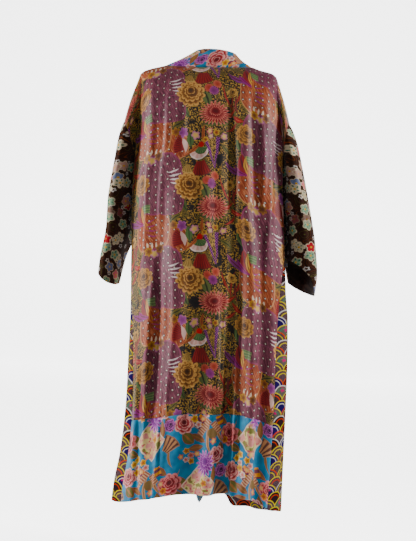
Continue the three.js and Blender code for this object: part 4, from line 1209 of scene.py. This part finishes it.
def make_neckband():
    count = 160 if PITCH > 6 else 420
    along = np.linspace(-4, 4, 2 * count + 1)
    ends = [-3.99, -3.97, -3.95, 3.95, 3.97, 3.99]
    along = np.unique(np.concatenate([along, np.linspace(-1.2, 1.2, 81), ends]))[:, None]
    along, across = np.broadcast_arrays(along, inset(NECKBAND_WIDTH)[None, :])
    points = band_point(along, across)
    wide = arc(points, 1)
    height = seam_roll(wide, 2.2) + 0.8 * seam_roll(wide[:, -1:] - wide)
    height = height + 0.5 * np.sin(along * 9) * np.sin(np.pi * across)
    height = height + 0.35 * np.sin(along * 23 + across * 5)
    points = lift(points, height, -1)
    middle = points.shape[0] // 2
    run = arc(points, 0)
    cloth = np.stack([run - run[middle : middle + 1] - SHIFT["neckband"], wide], -1)
    make_piece("neckband", [(points, cloth, -1)], "turquoise", BAND_THICKNESS)


make_back()
make_hem_band("back")
for side in (-1, 1):
    make_front(side)
    make_hem_band("front", side)
    make_side_panel(side)
    make_facing(side)
    make_sleeve(side)
make_neckband()

# Floor and backdrop
def plain(name, rgb, glow):
    ink = Ink(name)
    tone = ink.noise(ink.vector(ink.u, ink.v), 0.004, 2.0)
    ink.put(ink.shader.inputs["Base Color"], ink.paint(rgb, tuple(c - 3 for c in rgb), tone))
    ink.put(ink.shader.inputs["Roughness"], 0.9)
    ink.shader.inputs["Emission Color"].default_value = (1, 1, 1, 1)
    ink.shader.inputs["Emission Strength"].default_value = glow
    return ink.material


FLOOR_Z, BEND_Y, BEND_RADIUS = -1.42, 5.8, 1.2
floor_mesh = bpy.data.meshes.new("floor")
profile = [(-5.0, FLOOR_Z), (0.0, FLOOR_Z), (BEND_Y, FLOOR_Z)]
profile += [(BEND_Y + BEND_RADIUS * math.sin(a), FLOOR_Z + BEND_RADIUS * (1 - math.cos(a)))
            for a in np.linspace(0.1, math.pi / 2, 12)]
profile += [(7.0, 3.0)]
floor_mesh.from_pydata([(x, y, z) for y, z in profile for x in (-6.0, -3.5, 2.1, 6.0)], [],
                       [(4 * i + j, 4 * i + j + 1, 4 * i + j + 5, 4 * i + j + 4)
                        for i in range(len(profile) - 1) for j in range(3)])
floor_mesh.materials.append(plain("pale_floor", (226, 226, 226), 0.0))
floor_mesh.materials.append(plain("pale_backdrop", (236, 236, 236), 4.0))
# The middle strip beyond the robe gives off light
for polygon in floor_mesh.polygons:
    polygon.use_smooth = True
    polygon.material_index = 1 if polygon.index > 2 and polygon.index % 3 == 1 else 0
floor = bpy.data.objects.new("floor", floor_mesh)
SCENE.collection.objects.link(floor)

# Soft studio light
world = bpy.data.worlds.new("studio")
SCENE.world = world
world.use_nodes = True
world.node_tree.nodes["Background"].inputs["Color"].default_value = (1, 1, 1, 1)
world.node_tree.nodes["Background"].inputs["Strength"].default_value = 0.05


AIM = Vector((0.02, 0, -0.55))


def soft_light(name, at, power_w, size):
    data = bpy.data.lights.new(name, "AREA")
    data.shape, data.size, data.energy = "DISK", size, power_w
    data.spread = math.pi
    lamp = bpy.data.objects.new(name, data)
    lamp.location = at
    lamp.rotation_euler = (AIM - Vector(at)).to_track_quat("-Z", "Y").to_euler()
    SCENE.collection.objects.link(lamp)


soft_light("left", (-2.6, -0.65, -0.1), power_w=140, size=0.45)
soft_light("right", (2.6, -0.5, 0.45), power_w=120, size=0.45)
soft_light("above", (0.1, -1.4, 0.9), power_w=8, size=1.0)

# The camera stands level behind the robe, 6 degrees to the right, and is rolled 2.5 degrees
DISTANCE = 3.0
azimuth, roll = math.radians(6), math.radians(2.5)
target = Vector((0.024, 0, -0.56))
ahead = Vector((-math.sin(azimuth), math.cos(azimuth), 0))
level_right, up = Vector((math.cos(azimuth), math.sin(azimuth), 0)), Vector((0, 0, 1))
right = level_right * math.cos(roll) + up * math.sin(roll)
top = up * math.cos(roll) - level_right * math.sin(roll)
camera_data = bpy.data.cameras.new("camera")
camera_data.type = "PERSP"
camera_data.sensor_fit = "VERTICAL"
camera_data.sensor_height = 36
camera_data.lens = 70.04
camera = bpy.data.objects.new("camera", camera_data)
turn = Matrix((right, top, -ahead)).transposed()
camera.matrix_world = Matrix.Translation(target - ahead * DISTANCE) @ turn.to_4x4()
SCENE.collection.objects.link(camera)
SCENE.camera = camera
